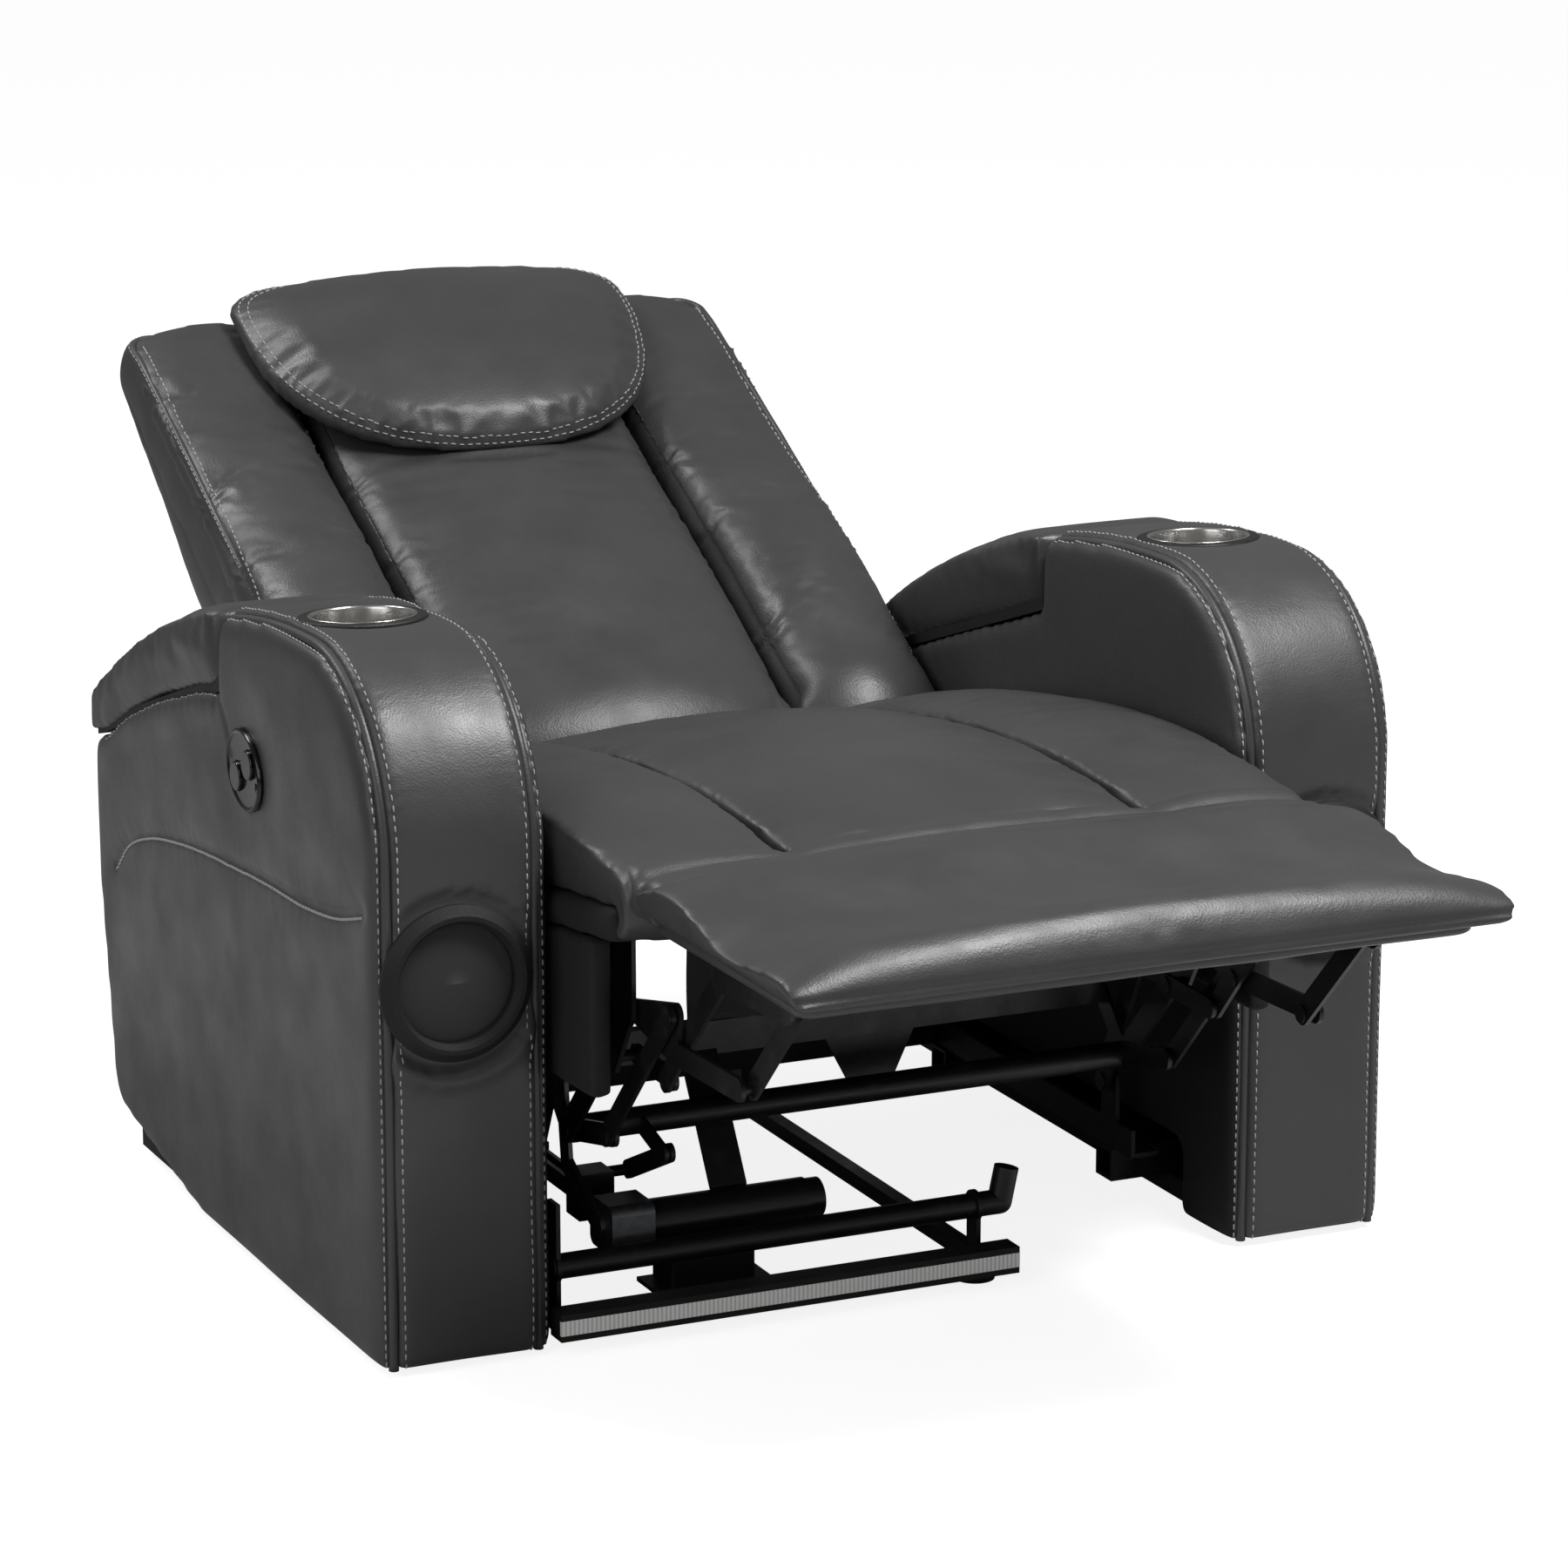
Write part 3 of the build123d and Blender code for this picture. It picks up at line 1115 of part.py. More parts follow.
def head_pillow():
    """The pillow across the top, with its lower edge cut in a deep curve."""
    start = BACK_PIVOT_ALONG + PILLOW_START_SHARE * BACK_LENGTH
    sections = []
    for along, low, edge, crown in PILLOW_SHARES:
        heights = (low * PILLOW_HEIGHT, edge * PILLOW_HEIGHT, crown * PILLOW_HEIGHT)
        face = stuffed_section(-PILLOW_HALF, PILLOW_HALF, *heights, BACK_TUCK)
        sections.append(back_plane(start + along * PILLOW_LENGTH) * face)
    half = [(width * PILLOW_HALF, along * PILLOW_LENGTH) for along, width in PILLOW_OUTLINE]
    other_half = [(-x, along) for x, along in reversed(half[1:])]
    outline = make_face(Spline(*other_half, *half) + Line(half[-1], other_half[0]))
    turn = radians(BACK_ANGLE)
    lie = Plane(origin=(0, *back_point(start, 0)), x_dir=(1, 0, 0), z_dir=(0, -sin(turn), cos(turn)))
    return loft(sections) & extrude(lie * outline, amount=2 * PILLOW_HEIGHT)


# Home place: the middle of the length, with the feet on the floor
SHELL_TOP_Y = back_point(BACK_PIVOT_ALONG + BACK_LENGTH, SHELL_SHARES[-1][1] * BACK_CROWN)[0]
MIDDLE_Y = (SHELL_TOP_Y + FOOT_FRONT_Y) / 2
HOME = Pos(0, -MIDDLE_Y, GLIDE_HEIGHT)


def bracket_with_bore():
    return back_bracket(0) - rod(*PIVOT, PIVOT_RADIUS + RUN, PLATE_X, BACK_BRACKET_X + 2 * LAYER)


def build():
    half_seam = SEAM / 2
    nodes = {
        "arm_right_outer_panel": side_panel(OUTER_X - PANEL, True),
        "arm_right_inner_panel": side_panel(INNER_X, False),
        "arm_right_band": arm_band(),
        "lid_right": lid_pad(),
        "lid_board_right": lid_board(),
    }
    for name in list(nodes):
        nodes[name.replace("right", "left")] = other_side(nodes[name])
    nodes["arm_rear_pads"] = both_sides(arm_rear_pad())
    nodes["arm_frames"] = both_sides(*arm_frame())
    nodes["storage_bins"] = both_sides(storage_bin())
    nodes["cup_inserts"] = both_sides(cup_insert())
    nodes["speaker_rings"] = both_sides(speaker_ring())
    nodes["speaker_grilles"] = both_sides(speaker_grille())
    nodes["lid_hinges"] = both_sides(lid_hinge())
    nodes["control_bezel"] = control_bezel()
    nodes["button_open"] = control_button(-BUTTON_SPACING / 2)
    nodes["button_close"] = control_button(BUTTON_SPACING / 2)
    nodes["glides"] = group(*glides())
    nodes["base_cross_members"] = group(*cross_tubes())
    nodes["base_rails"] = both_sides(base_rail())
    nodes["floor_frame"] = group(*floor_frame())
    nodes["front_tube"] = front_tube()
    nodes["light_housing"] = light_housing()
    nodes["light_lens"] = light_lens()
    nodes["power_box"] = power_box()
    nodes["swing_links_front"] = both_sides(swing_link(SWING_FRONT_Y))
    nodes["swing_links_rear"] = both_sides(swing_link(SWING_REAR_Y))
    nodes["seat_panel_left"] = seat_panel(-SEAT_HALF, -SEAT_SEAM_X - half_seam)
    nodes["seat_panel_centre"] = seat_panel(-SEAT_SEAM_X + half_seam, SEAT_SEAM_X - half_seam)
    nodes["seat_panel_right"] = seat_panel(SEAT_SEAM_X + half_seam, SEAT_HALF)
    nodes["seat_base"] = seat_base()
    nodes["seat_aprons"] = both_sides(seat_apron())
    nodes["side_plates"] = both_sides(side_plate())
    nodes["seat_cross_bar"] = seat_cross_bar()
    nodes["front_links"] = both_sides(front_link())
    nodes["lower_links"] = both_sides(lower_link())
    nodes["rear_links"] = both_sides(rear_link())
    nodes["upper_links"] = both_sides(upper_link())
    nodes["drive_bars"] = both_sides(drive_bar())
    nodes["footrest_brackets"] = both_sides(footrest_bracket())
    nodes["footrest_pad"] = footrest_pad()
    nodes["footrest_board"] = footrest_board()
    nodes["torque_tube"] = torque_tube()
    nodes["gearbox"] = gearbox()
    nodes["motor"] = motor()
    nodes["track"] = track()
    nodes["drive_slider"] = drive_slider()
    nodes["drive_link"] = drive_link()
    nodes["back_bolster_left"] = back_panel(-BACK_HALF, -BACK_SEAM_X - half_seam)
    nodes["back_centre"] = back_panel(-BACK_SEAM_X + half_seam, BACK_SEAM_X - half_seam)
    nodes["back_bolster_right"] = back_panel(BACK_SEAM_X + half_seam, BACK_HALF)
    nodes["head_pillow"] = head_pillow()
    nodes["back_shell"] = back_shell()
    nodes["back_brackets"] = both_sides(bracket_with_bore())
    return nodes


os.makedirs("parts", exist_ok=True)
for node_name, shape in build().items():
    export_step(HOME * shape, f"parts/{node_name}.step")
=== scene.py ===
from math import asin, cos, pi, radians, sin

import bmesh
import bpy
import numpy as np
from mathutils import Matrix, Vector, kdtree, noise
from mathutils.bvhtree import BVHTree


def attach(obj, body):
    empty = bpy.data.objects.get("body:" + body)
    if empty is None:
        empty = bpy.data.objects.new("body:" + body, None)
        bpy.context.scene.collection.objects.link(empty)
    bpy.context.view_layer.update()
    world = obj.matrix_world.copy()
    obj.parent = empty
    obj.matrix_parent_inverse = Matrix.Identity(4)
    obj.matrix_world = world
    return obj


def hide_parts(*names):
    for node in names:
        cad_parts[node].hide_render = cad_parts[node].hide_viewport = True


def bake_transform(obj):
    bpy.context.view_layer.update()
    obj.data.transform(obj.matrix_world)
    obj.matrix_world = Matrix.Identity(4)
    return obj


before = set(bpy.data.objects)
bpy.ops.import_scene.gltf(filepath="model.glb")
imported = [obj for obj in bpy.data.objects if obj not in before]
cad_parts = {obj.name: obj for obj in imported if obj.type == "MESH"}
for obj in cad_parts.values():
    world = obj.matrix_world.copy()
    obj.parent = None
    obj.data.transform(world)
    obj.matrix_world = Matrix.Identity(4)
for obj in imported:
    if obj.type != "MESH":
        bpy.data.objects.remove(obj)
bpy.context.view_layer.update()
bpy.context.scene.view_settings.view_transform = "Standard"


# Studio: a white sweep under and behind the chair, three soft boxes, and the camera.
# The camera stands low in front of the chair's left corner, with a long lens.
MIDDLE_Y = 348.045
GLIDE_HEIGHT = 6
CAMERA_PLACE = (-1979, -4060, 1584)
CAMERA_YAW = 24.698
CAMERA_PITCH = 14.030
CAMERA_LENS = 126.14
CAMERA_SENSOR = 36
CAMERA_REACH = 100


def at(x, y, z):
    """A place measured in mm from the middle of the arms' front, at their lower edge."""
    return Vector((x, y - MIDDLE_Y, z + GLIDE_HEIGHT)) / 1000


def from_hex(code):
    """An sRGB hex colour as linear red, green, blue and alpha."""
    channels = [int(code[i:i + 2], 16) / 255 for i in (0, 2, 4)]
    return tuple(c / 12.92 if c <= 0.04045 else ((c + 0.055) / 1.055) ** 2.4 for c in channels) + (1,)


def add(tree, kind, inputs=None, **settings):
    """Adds a node with its settings, and its inputs as values or as links."""
    made = tree.nodes.new(kind)
    for name, value in settings.items():
        setattr(made, name, value)
    for socket, value in (inputs or {}).items():
        if isinstance(value, bpy.types.NodeSocket):
            tree.links.new(value, made.inputs[socket])
        else:
            made.inputs[socket].default_value = value
    return made


camera = bpy.data.objects.new("camera", bpy.data.cameras.new("camera"))
camera.location = at(*CAMERA_PLACE)
camera.rotation_euler = (radians(90 - CAMERA_PITCH), 0, -radians(CAMERA_YAW))
camera.data.lens = CAMERA_LENS
camera.data.sensor_width = CAMERA_SENSOR
camera.data.clip_end = CAMERA_REACH
bpy.context.scene.collection.objects.link(camera)
bpy.context.scene.camera = camera

# The sky lights the chair softly, and shows at full strength only to the camera.
SKY_LIGHT, SKY_SHOWN = 0.20, 1.0
world = bpy.data.worlds.new("studio")
bpy.context.scene.world = world
world.use_nodes = True
sky = world.node_tree
sky.nodes.clear()
path = add(sky, "ShaderNodeLightPath")
seen = add(sky, "ShaderNodeMath", {
    0: path.outputs["Is Camera Ray"], 1: path.outputs["Is Transmission Ray"]}, operation="MAXIMUM")
strength = add(sky, "ShaderNodeMapRange", {
    "Value": seen.outputs[0], "To Min": SKY_LIGHT, "To Max": SKY_SHOWN})
backdrop = add(sky, "ShaderNodeBackground", {
    "Color": from_hex("ffffff"), "Strength": strength.outputs["Result"]})
add(sky, "ShaderNodeOutputWorld", {"Surface": backdrop.outputs[0]})


def new_material(name):
    """An empty material and its node tree."""
    made = bpy.data.materials.new(name)
    made.use_nodes = True
    made.node_tree.nodes.clear()
    return made, made.node_tree


# Matt white paper: diffuse, with a glow that only the camera sees, so that it reads as pure
# white around the chair and still takes the chair's shadow.
PAPER_SIZE = 60
PAPER_GLOW = 0.86
bpy.ops.mesh.primitive_plane_add(size=PAPER_SIZE, location=(0, 0, 0))
floor = bpy.context.object
floor.name = "studio_floor"
paper, tree = new_material("matt_white_paper")
path = add(tree, "ShaderNodeLightPath")
diffuse = add(tree, "ShaderNodeBsdfDiffuse", {"Color": from_hex("c8c8c8")})
glow = add(tree, "ShaderNodeEmission", {"Color": from_hex("ffffff"), "Strength": PAPER_GLOW})
lit = add(tree, "ShaderNodeAddShader", {0: diffuse.outputs[0], 1: glow.outputs[0]})
shown = add(tree, "ShaderNodeMixShader", {
    0: path.outputs["Is Camera Ray"], 1: diffuse.outputs[0], 2: lit.outputs[0]})
add(tree, "ShaderNodeOutputMaterial", {"Surface": shown.outputs[0]})
floor.data.materials.append(paper)

# Each soft box: its name, its place and its target in mm, its side in m and its power in W.
SOFT_BOXES = (
    ("soft_box_left", (-2900, -1300, 1700), (-100, 300, 350), 2.2, 23),
    ("soft_box_key", (800, -900, 2800), (0, 350, 400), 1.1, 88),
    ("soft_box_rear", (-1300, 1700, 2500), (-100, 700, 600), 0.9, 26),
)
for name, place, target, size, power in SOFT_BOXES:
    lamp = bpy.data.lights.new(name, "AREA")
    lamp.shape = "SQUARE"
    lamp.size = size
    lamp.energy = power
    box = bpy.data.objects.new(name, lamp)
    box.location = at(*place)
    box.rotation_euler = (at(*target) - at(*place)).to_track_quat("-Z", "Y").to_euler()
    bpy.context.scene.collection.objects.link(box)


# Arms: plywood boxes under foam, covered in charcoal leatherette. On each, an outer and an
# inner side panel are sewn to one long band that runs up the front and over the top.
INNER_X = 326
OUTER_X = 480
ARM_X = 403
PANEL = 12
CORNER = 160
ARM_HEIGHT = 592
ARM_LENGTH = 735
TOP_DROP = 170
LID_Y = 378
SPEAKER_X = 412
SPEAKER_Z = 332
CONTROL = (305, 449)
CONTROL_HALVES = (42, 34)
CONTROL_LEAN = 16

# Embossed polyurethane leather over foam: a fine pebble grain, a semi-gloss top coat that
# breaks up the highlights, and a slow drift of tone where it has been stretched. Its pebbles
# stand 1.6 mm apart, because the real ones, near 1 mm, are too fine to show.
GRAIN_PER_METRE = 620
leather, tree = new_material("embossed_pu_leather")
where = add(tree, "ShaderNodeTexCoord").outputs["Object"]
drift = add(tree, "ShaderNodeTexNoise", {"Vector": where, "Scale": 9, "Detail": 3})
tone = add(tree, "ShaderNodeMix", {
    0: drift.outputs["Fac"], 6: from_hex("343435"), 7: from_hex("414142")}, data_type="RGBA")
pebbles = add(tree, "ShaderNodeTexVoronoi", {"Vector": where, "Scale": GRAIN_PER_METRE}, feature="SMOOTH_F1")
hide = add(tree, "ShaderNodeTexNoise", {"Vector": where, "Scale": 42, "Detail": 6, "Roughness": 0.62})
creases = add(tree, "ShaderNodeBump", {"Strength": 0.22, "Distance": 0.0018, "Height": hide.outputs["Fac"]})
grain = add(tree, "ShaderNodeBump", {
    "Strength": 0.30, "Distance": 0.0005, "Height": pebbles.outputs["Distance"],
    "Normal": creases.outputs["Normal"]})
rub = add(tree, "ShaderNodeTexNoise", {"Vector": where, "Scale": 16, "Detail": 5})
polish = add(tree, "ShaderNodeMapRange", {
    "Value": rub.outputs["Fac"], "From Min": 0.3, "From Max": 0.7, "To Min": 0.34, "To Max": 0.50})
skin = add(tree, "ShaderNodeBsdfPrincipled", {
    "Base Color": tone.outputs[2], "Roughness": polish.outputs["Result"], "IOR": 1.5,
    "Specular IOR Level": 0.55, "Normal": grain.outputs["Normal"]})
add(tree, "ShaderNodeOutputMaterial", {"Surface": skin.outputs[0]})

# Bonded polyester sewing thread: pale grey, with a soft shine, so each row of stitches reads
# as a light line on the charcoal cover.
thread, tree = new_material("polyester_thread")
where = add(tree, "ShaderNodeTexCoord").outputs["Object"]
ply = add(tree, "ShaderNodeTexNoise", {"Vector": where, "Scale": 900, "Detail": 2})
dye = add(tree, "ShaderNodeMix", {
    0: ply.outputs["Fac"], 6: from_hex("86878a"), 7: from_hex("b0b1b3")}, data_type="RGBA")
strand = add(tree, "ShaderNodeBsdfPrincipled", {
    "Base Color": dye.outputs[2], "Roughness": 0.55, "Sheen Weight": 0.2})
add(tree, "ShaderNodeOutputMaterial", {"Surface": strand.outputs[0]})

# Black non-woven lining cloth: matt, with short fibres 2 mm apart. Its black is partly painted shade:
# on the arms' lower inner sides and on the seat's aprons it stands in for the shade that falls there.
cloth, tree = new_material("black_lining_cloth_and_painted_shade")
where = add(tree, "ShaderNodeTexCoord").outputs["Object"]
fibres = add(tree, "ShaderNodeTexNoise", {"Vector": where, "Scale": 500, "Detail": 4})
shade = add(tree, "ShaderNodeMix", {
    0: fibres.outputs["Fac"], 6: from_hex("0f0f10"), 7: from_hex("1a1a1b")}, data_type="RGBA")
weave = add(tree, "ShaderNodeBump", {"Strength": 0.4, "Distance": 0.0005, "Height": fibres.outputs["Fac"]})
felt = add(tree, "ShaderNodeBsdfPrincipled", {
    "Base Color": shade.outputs[2], "Roughness": 0.85, "Normal": weave.outputs["Normal"]})
add(tree, "ShaderNodeOutputMaterial", {"Surface": felt.outputs[0]})


def read_points(mesh, what="co"):
    """The place of every vertex in metres, or its normal."""
    values = np.empty(len(mesh.vertices) * 3, np.float32)
    mesh.vertices.foreach_get(what, values)
    return values.reshape(-1, 3).astype(float)


def in_mm(points):
    """Across, along and up, in mm as at() takes them, of points in metres."""
    return points[:, 0] * 1000, points[:, 1] * 1000 + MIDDLE_Y, points[:, 2] * 1000 - GLIDE_HEIGHT


def write_points(mesh, points):
    mesh.vertices.foreach_set("co", np.asarray(points, np.float32).ravel())
    mesh.update()


def settle(piece):
    """Applies the piece's modifiers to its mesh."""
    bpy.context.view_layer.update()
    depsgraph = bpy.context.evaluated_depsgraph_get()
    made = bpy.data.meshes.new_from_object(piece.evaluated_get(depsgraph))
    piece.modifiers.clear()
    piece.data = made


def with_modifier(piece, kind, **settings):
    modifier = piece.modifiers.new(kind.lower(), kind)
    for name, value in settings.items():
        setattr(modifier, name, value)
    return modifier


def build(name, vertices, faces):
    """A new piece from its vertices in metres and its faces."""
    mesh = bpy.data.meshes.new(name)
    mesh.from_pydata(vertices, [], faces)
    piece = bpy.data.objects.new(name, mesh)
    bpy.context.scene.collection.objects.link(piece)
    return piece


def tube(rings, around, base=0):
    """The faces of a closed tube, from its number of rings and the points around each."""
    faces = []
    for r in range(rings - 1):
        for k in range(around):
            a, b = base + r * around + k, base + r * around + (k + 1) % around
            faces.append((a, b, b + around, a + around))
    faces.append(tuple(base + k for k in reversed(range(around))))
    faces.append(tuple(base + (rings - 1) * around + k for k in range(around)))
    return faces


def coat_smooth(piece, material):
    """Gives the whole piece one material, and shades it smooth."""
    piece.data.materials.clear()
    piece.data.materials.append(material)
    for polygon in piece.data.polygons:
        polygon.use_smooth = True


def foam_from(node, name, voxel, ease=4):
    """A skin around the CAD solid, in even small faces, with its edges eased."""
    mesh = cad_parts[node].data.copy()
    mesh.materials.clear()
    WELD = 0.00002
    shell = bmesh.new()
    shell.from_mesh(mesh)
    bmesh.ops.remove_doubles(shell, verts=shell.verts, dist=WELD)
    shell.to_mesh(mesh)
    shell.free()
    piece = bpy.data.objects.new(name, mesh)
    bpy.context.scene.collection.objects.link(piece)
    with_modifier(piece, "REMESH", mode="VOXEL", voxel_size=voxel / 1000, use_smooth_shade=True)
    with_modifier(piece, "SMOOTH", factor=0.5, iterations=ease)
    settle(piece)
    return piece


def inflate(piece, free, pressure, cap, slack):
    """Blows the piece up as cloth, and lets no point move further than the cap in mm.

    free() takes the points in mm, and says 1 where they may move and 0 where they are sewn."""
    FRAMES = 14
    start = read_points(piece.data)
    held = 1 - np.clip(free(start * 1000), 0, 1)
    group = piece.vertex_groups.new(name="sewn")
    for level in np.unique(np.round(held, 1)):
        chosen = np.nonzero(np.round(held, 1) == level)[0]
        group.add(chosen.tolist(), float(level), "REPLACE")
    sheet = piece.modifiers.new("cloth", "CLOTH")
    for name, value in {
            "quality": 4, "mass": 0.3, "tension_stiffness": 12, "compression_stiffness": 12,
            "shear_stiffness": 4, "bending_stiffness": 2.5, "shrink_min": -slack, "use_pressure": True,
            "uniform_pressure_force": pressure, "vertex_group_mass": group.name}.items():
        setattr(sheet.settings, name, value)
    sheet.settings.effector_weights.gravity = 0
    sheet.point_cache.frame_start = 1
    sheet.point_cache.frame_end = FRAMES
    for number in range(1, FRAMES + 1):
        bpy.context.scene.frame_set(number)
    depsgraph = bpy.context.evaluated_depsgraph_get()
    moved = read_points(piece.evaluated_get(depsgraph).data) - start
    length = np.linalg.norm(moved, axis=1, keepdims=True)
    limit = cap / 1000
    moved *= np.where(length > limit, limit / np.maximum(length, 1e-9), 1)
    piece.modifiers.clear()
    piece.vertex_groups.clear()
    write_points(piece.data, start + moved)
    bpy.context.scene.frame_set(1)


def stuff(piece, direction, seams, height, width):
    """Rounds a panel up between its seams on the side that faces along the direction.

    The rise and the width over which it is reached are in mm."""
    points = read_points(piece.data)
    normals = read_points(piece.data, "normal")
    lines = [place for seam in seams for place in spread(seam, 0.005)]
    tree = kdtree.KDTree(len(lines))
    for i, place in enumerate(lines):
        tree.insert(place, i)
    tree.balance()
    direction = np.array(direction, float) / np.linalg.norm(direction)
    facing = np.clip((normals @ direction - 0.25) / 0.4, 0, 1)
    for i in np.nonzero(facing > 0)[0]:
        far = tree.find(points[i])[2] * 1000
        points[i] += direction * (height * facing[i] * (1 - np.exp(-(far / width) ** 1.3)) / 1000)
    write_points(piece.data, points)
    with_modifier(piece, "SMOOTH", factor=0.5, iterations=5)
    settle(piece)


def refine(piece):
    with_modifier(piece, "SUBSURF", levels=1, render_levels=1)
    settle(piece)


def spread(points, step):
    """Places in even steps, in metres, along the line through the points."""
    points = np.array([tuple(p) for p in points], float)
    runs = np.linalg.norm(np.diff(points, axis=0), axis=1)
    along = np.concatenate([[0], np.cumsum(runs)])
    places = np.linspace(0, along[-1], max(2, int(round(along[-1] / step)) + 1))
    return np.stack([np.interp(places, along, points[:, i]) for i in range(3)], axis=1)


def curve_through(points, per_span=12):
    """A smooth line through a few places."""
    p = np.array([tuple(q) for q in points], float)
    p = np.vstack([2 * p[0] - p[1], p, 2 * p[-1] - p[-2]])
    line = []
    for i in range(1, len(p) - 2):
        for t in np.linspace(0, 1, per_span, endpoint=False):
            a, b, c, d = p[i - 1], p[i], p[i + 1], p[i + 2]
            line.append(0.5 * (2 * b + (c - a) * t + (2 * a - 5 * b + 4 * c - d) * t * t
                               + (3 * b - a - 3 * c + d) * t ** 3))
    line.append(p[-2])
    return np.array(line)


def sew(piece, seams, depth=2.5, width=5, pucker=1.0, spacing=16, reach=24, seed=1):
    """Draws the cover in along its seams and gathers it in small puckers beside them.

    The depth, the width, the puckers' height and spacing, and their reach are in mm."""
    STEP = 3.0
    PATCH, WANDER = 55, 38
    NEXT_SEAM = 977
    points = read_points(piece.data)
    normals = read_points(piece.data, "normal")
    lines = [spread(seam, STEP / 1000) for seam in seams]
    tree = kdtree.KDTree(sum(len(line) for line in lines))
    run = []
    for number, line in enumerate(lines):
        for i, place in enumerate(line):
            tree.insert(place, len(run))
            run.append(i * STEP + number * NEXT_SEAM)
    tree.balance()
    lift = np.zeros(len(points))
    for i, place in enumerate(points):
        _, index, far = tree.find(place)
        far *= 1000
        if far > 4 * reach:
            continue
        s = run[index]
        lift[i] = -depth * np.exp(-(far / width) ** 2)
        patch = max(0, 0.35 + noise.noise(Vector((s / PATCH, seed, 0))) * 1.4)
        drift = noise.noise(Vector((s / WANDER, far / 30, seed + 9))) * 1.1
        wave = sin(2 * pi * (s / spacing + drift))
        lift[i] += pucker * patch * wave * np.exp(-far / reach) * (1 - np.exp(-(far / 4) ** 2))
    write_points(piece.data, points + normals * (lift / 1000)[:, None])


def crumple(piece, height, size, seed):
    """Slow waves in the cover, where foam and filling give a little."""
    points = read_points(piece.data)
    normals = read_points(piece.data, "normal")
    scale = 1000 / size
    lift = [noise.noise(Vector(tuple(p * scale)) + Vector((seed, seed * 2, 0))) for p in points]
    write_points(piece.data, points + normals * (np.array(lift) * height / 1000)[:, None])


def stitches(name, piece, lines, body, pitch=8.5, thick=0.7):
    """Rows of thread stitches laid on the piece's cover along the lines."""
    LENGTH, LIFT = 5.6, 0.25
    mesh = piece.data
    skin = BVHTree.FromPolygons([v.co for v in mesh.vertices], [p.vertices for p in mesh.polygons])
    vertices, faces = [], []
    # Each stitch, ring by ring: its place along the stitch, its girth and its height.
    rings = ((-1, 0.35, -0.9), (-0.72, 0.9, 0.0), (0, 1.0, 0.35), (0.72, 0.9, 0.0), (1, 0.35, -0.9))
    AROUND = 6
    FAR = 0.03
    for line in lines:
        places = spread(line, pitch / 1000)
        for first, second in zip(places, places[1:]):
            found, normal, _, gap = skin.find_nearest(Vector((first + second) / 2))
            if found is None or gap > FAR:
                continue
            along = Vector(second - first)
            along = (along - normal * along.dot(normal)).normalized()
            across = along.cross(normal)
            faces += tube(len(rings), AROUND, base=len(vertices))
            for share, girth, height in rings:
                centre = found + along * (share * LENGTH / 2000) + normal * ((LIFT + height * thick) / 1000)
                for turn in np.arange(AROUND) * 2 * pi / AROUND:
                    out = across * cos(turn) + normal * sin(turn)
                    vertices.append(centre + out * (girth * thick / 1000))
    row = build(name, vertices, faces)
    coat_smooth(row, thread)
    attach(row, body)


def dress(piece, body, nodes, material=None):
    """Covers the finished piece, fixes it to its body and stands it in for its solids."""
    coat_smooth(piece, material or leather)
    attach(piece, body)
    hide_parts(*nodes)


def arm_outline(inset):
    """The front, corner and top of the arm in side view, from the floor to the rear top."""
    radius = CORNER - inset
    centre_z = ARM_HEIGHT - CORNER
    line = [(inset, z) for z in np.linspace(0, centre_z, 24)]
    for turn in np.linspace(0, pi / 2, 24)[1:]:
        line.append((CORNER - radius * cos(turn), centre_z + radius * sin(turn)))
    reach, drop = ARM_LENGTH - inset - CORNER, TOP_DROP
    top_radius = (reach ** 2 + drop ** 2) / (2 * drop)
    whole = asin(reach / top_radius)
    for turn in np.linspace(0, whole, 30)[1:]:
        line.append((CORNER + top_radius * sin(turn), ARM_HEIGHT - inset - top_radius * (1 - cos(turn))))
    return line


LID_EDGE = ((381, 498), (438, 487), (550, 453), (628, 424), (700, 388))

# The lid's board lies on the side panels along a straight line. The lid's cover hangs over the
# board's outer edge at both ends, and the panel's cover rises between, so the joint is an arch.
PARTING = ((378, 735), (503, 387))
LID_BOARD = 14
OUTER_OVERHANG = ((374, 438, 550, 628, 704, 735), (10, 3, 0, 3, 13, 10))
INNER_OVERHANG = 9
JOINT = 3
ROLL_OUT = 3.2
BEHIND_CONTROL = 478.6
STITCH_GAP = 9
# The height in mm up to which the arms' inner faces beside the seat get the black cloth as painted shade.
PAINTED_SHADE_TOP_Z = 350

# The lowest part of the outer panel is a second piece of cover, joined in an S-shaped seam.
S_SEAM = (
    (681, 274), (639, 307), (574, 329), (494, 343), (414, 352), (345, 357), (275, 362), (215, 364),
    (165, 366), (90, 375), (27, 391))


def puff_sideways(piece, side, face_x, height, seams, width):
    """Fills a side panel out from its seams, without moving its hidden face or, on the outer
    side, the place of the control."""
    CALM_FROM, CALM_OVER = 38, 60
    points = read_points(piece.data)
    sewn = [place for seam in seams for place in seam]
    tree = kdtree.KDTree(len(sewn))
    for i, place in enumerate(sewn):
        tree.insert((0, place[1], place[2]), i)
    tree.balance()
    for i, (x, y, z) in enumerate(points):
        show = 1 - min(1, abs(side * x * 1000 - face_x) / PANEL)
        _, _, far = tree.find((0, y, z))
        fill = height * (1 - np.exp(-far * 1000 / width))
        if face_x > ARM_X:
            away = (Vector((0, y, z)) - at(0, *CONTROL)).length * 1000
            calm = np.clip((away - CALM_FROM) / CALM_OVER, 0, 1)
            fill *= calm * calm * (3 - 2 * calm)
        points[i, 0] += side * np.sign(face_x - ARM_X) * fill * show / 1000
    write_points(piece.data, points)


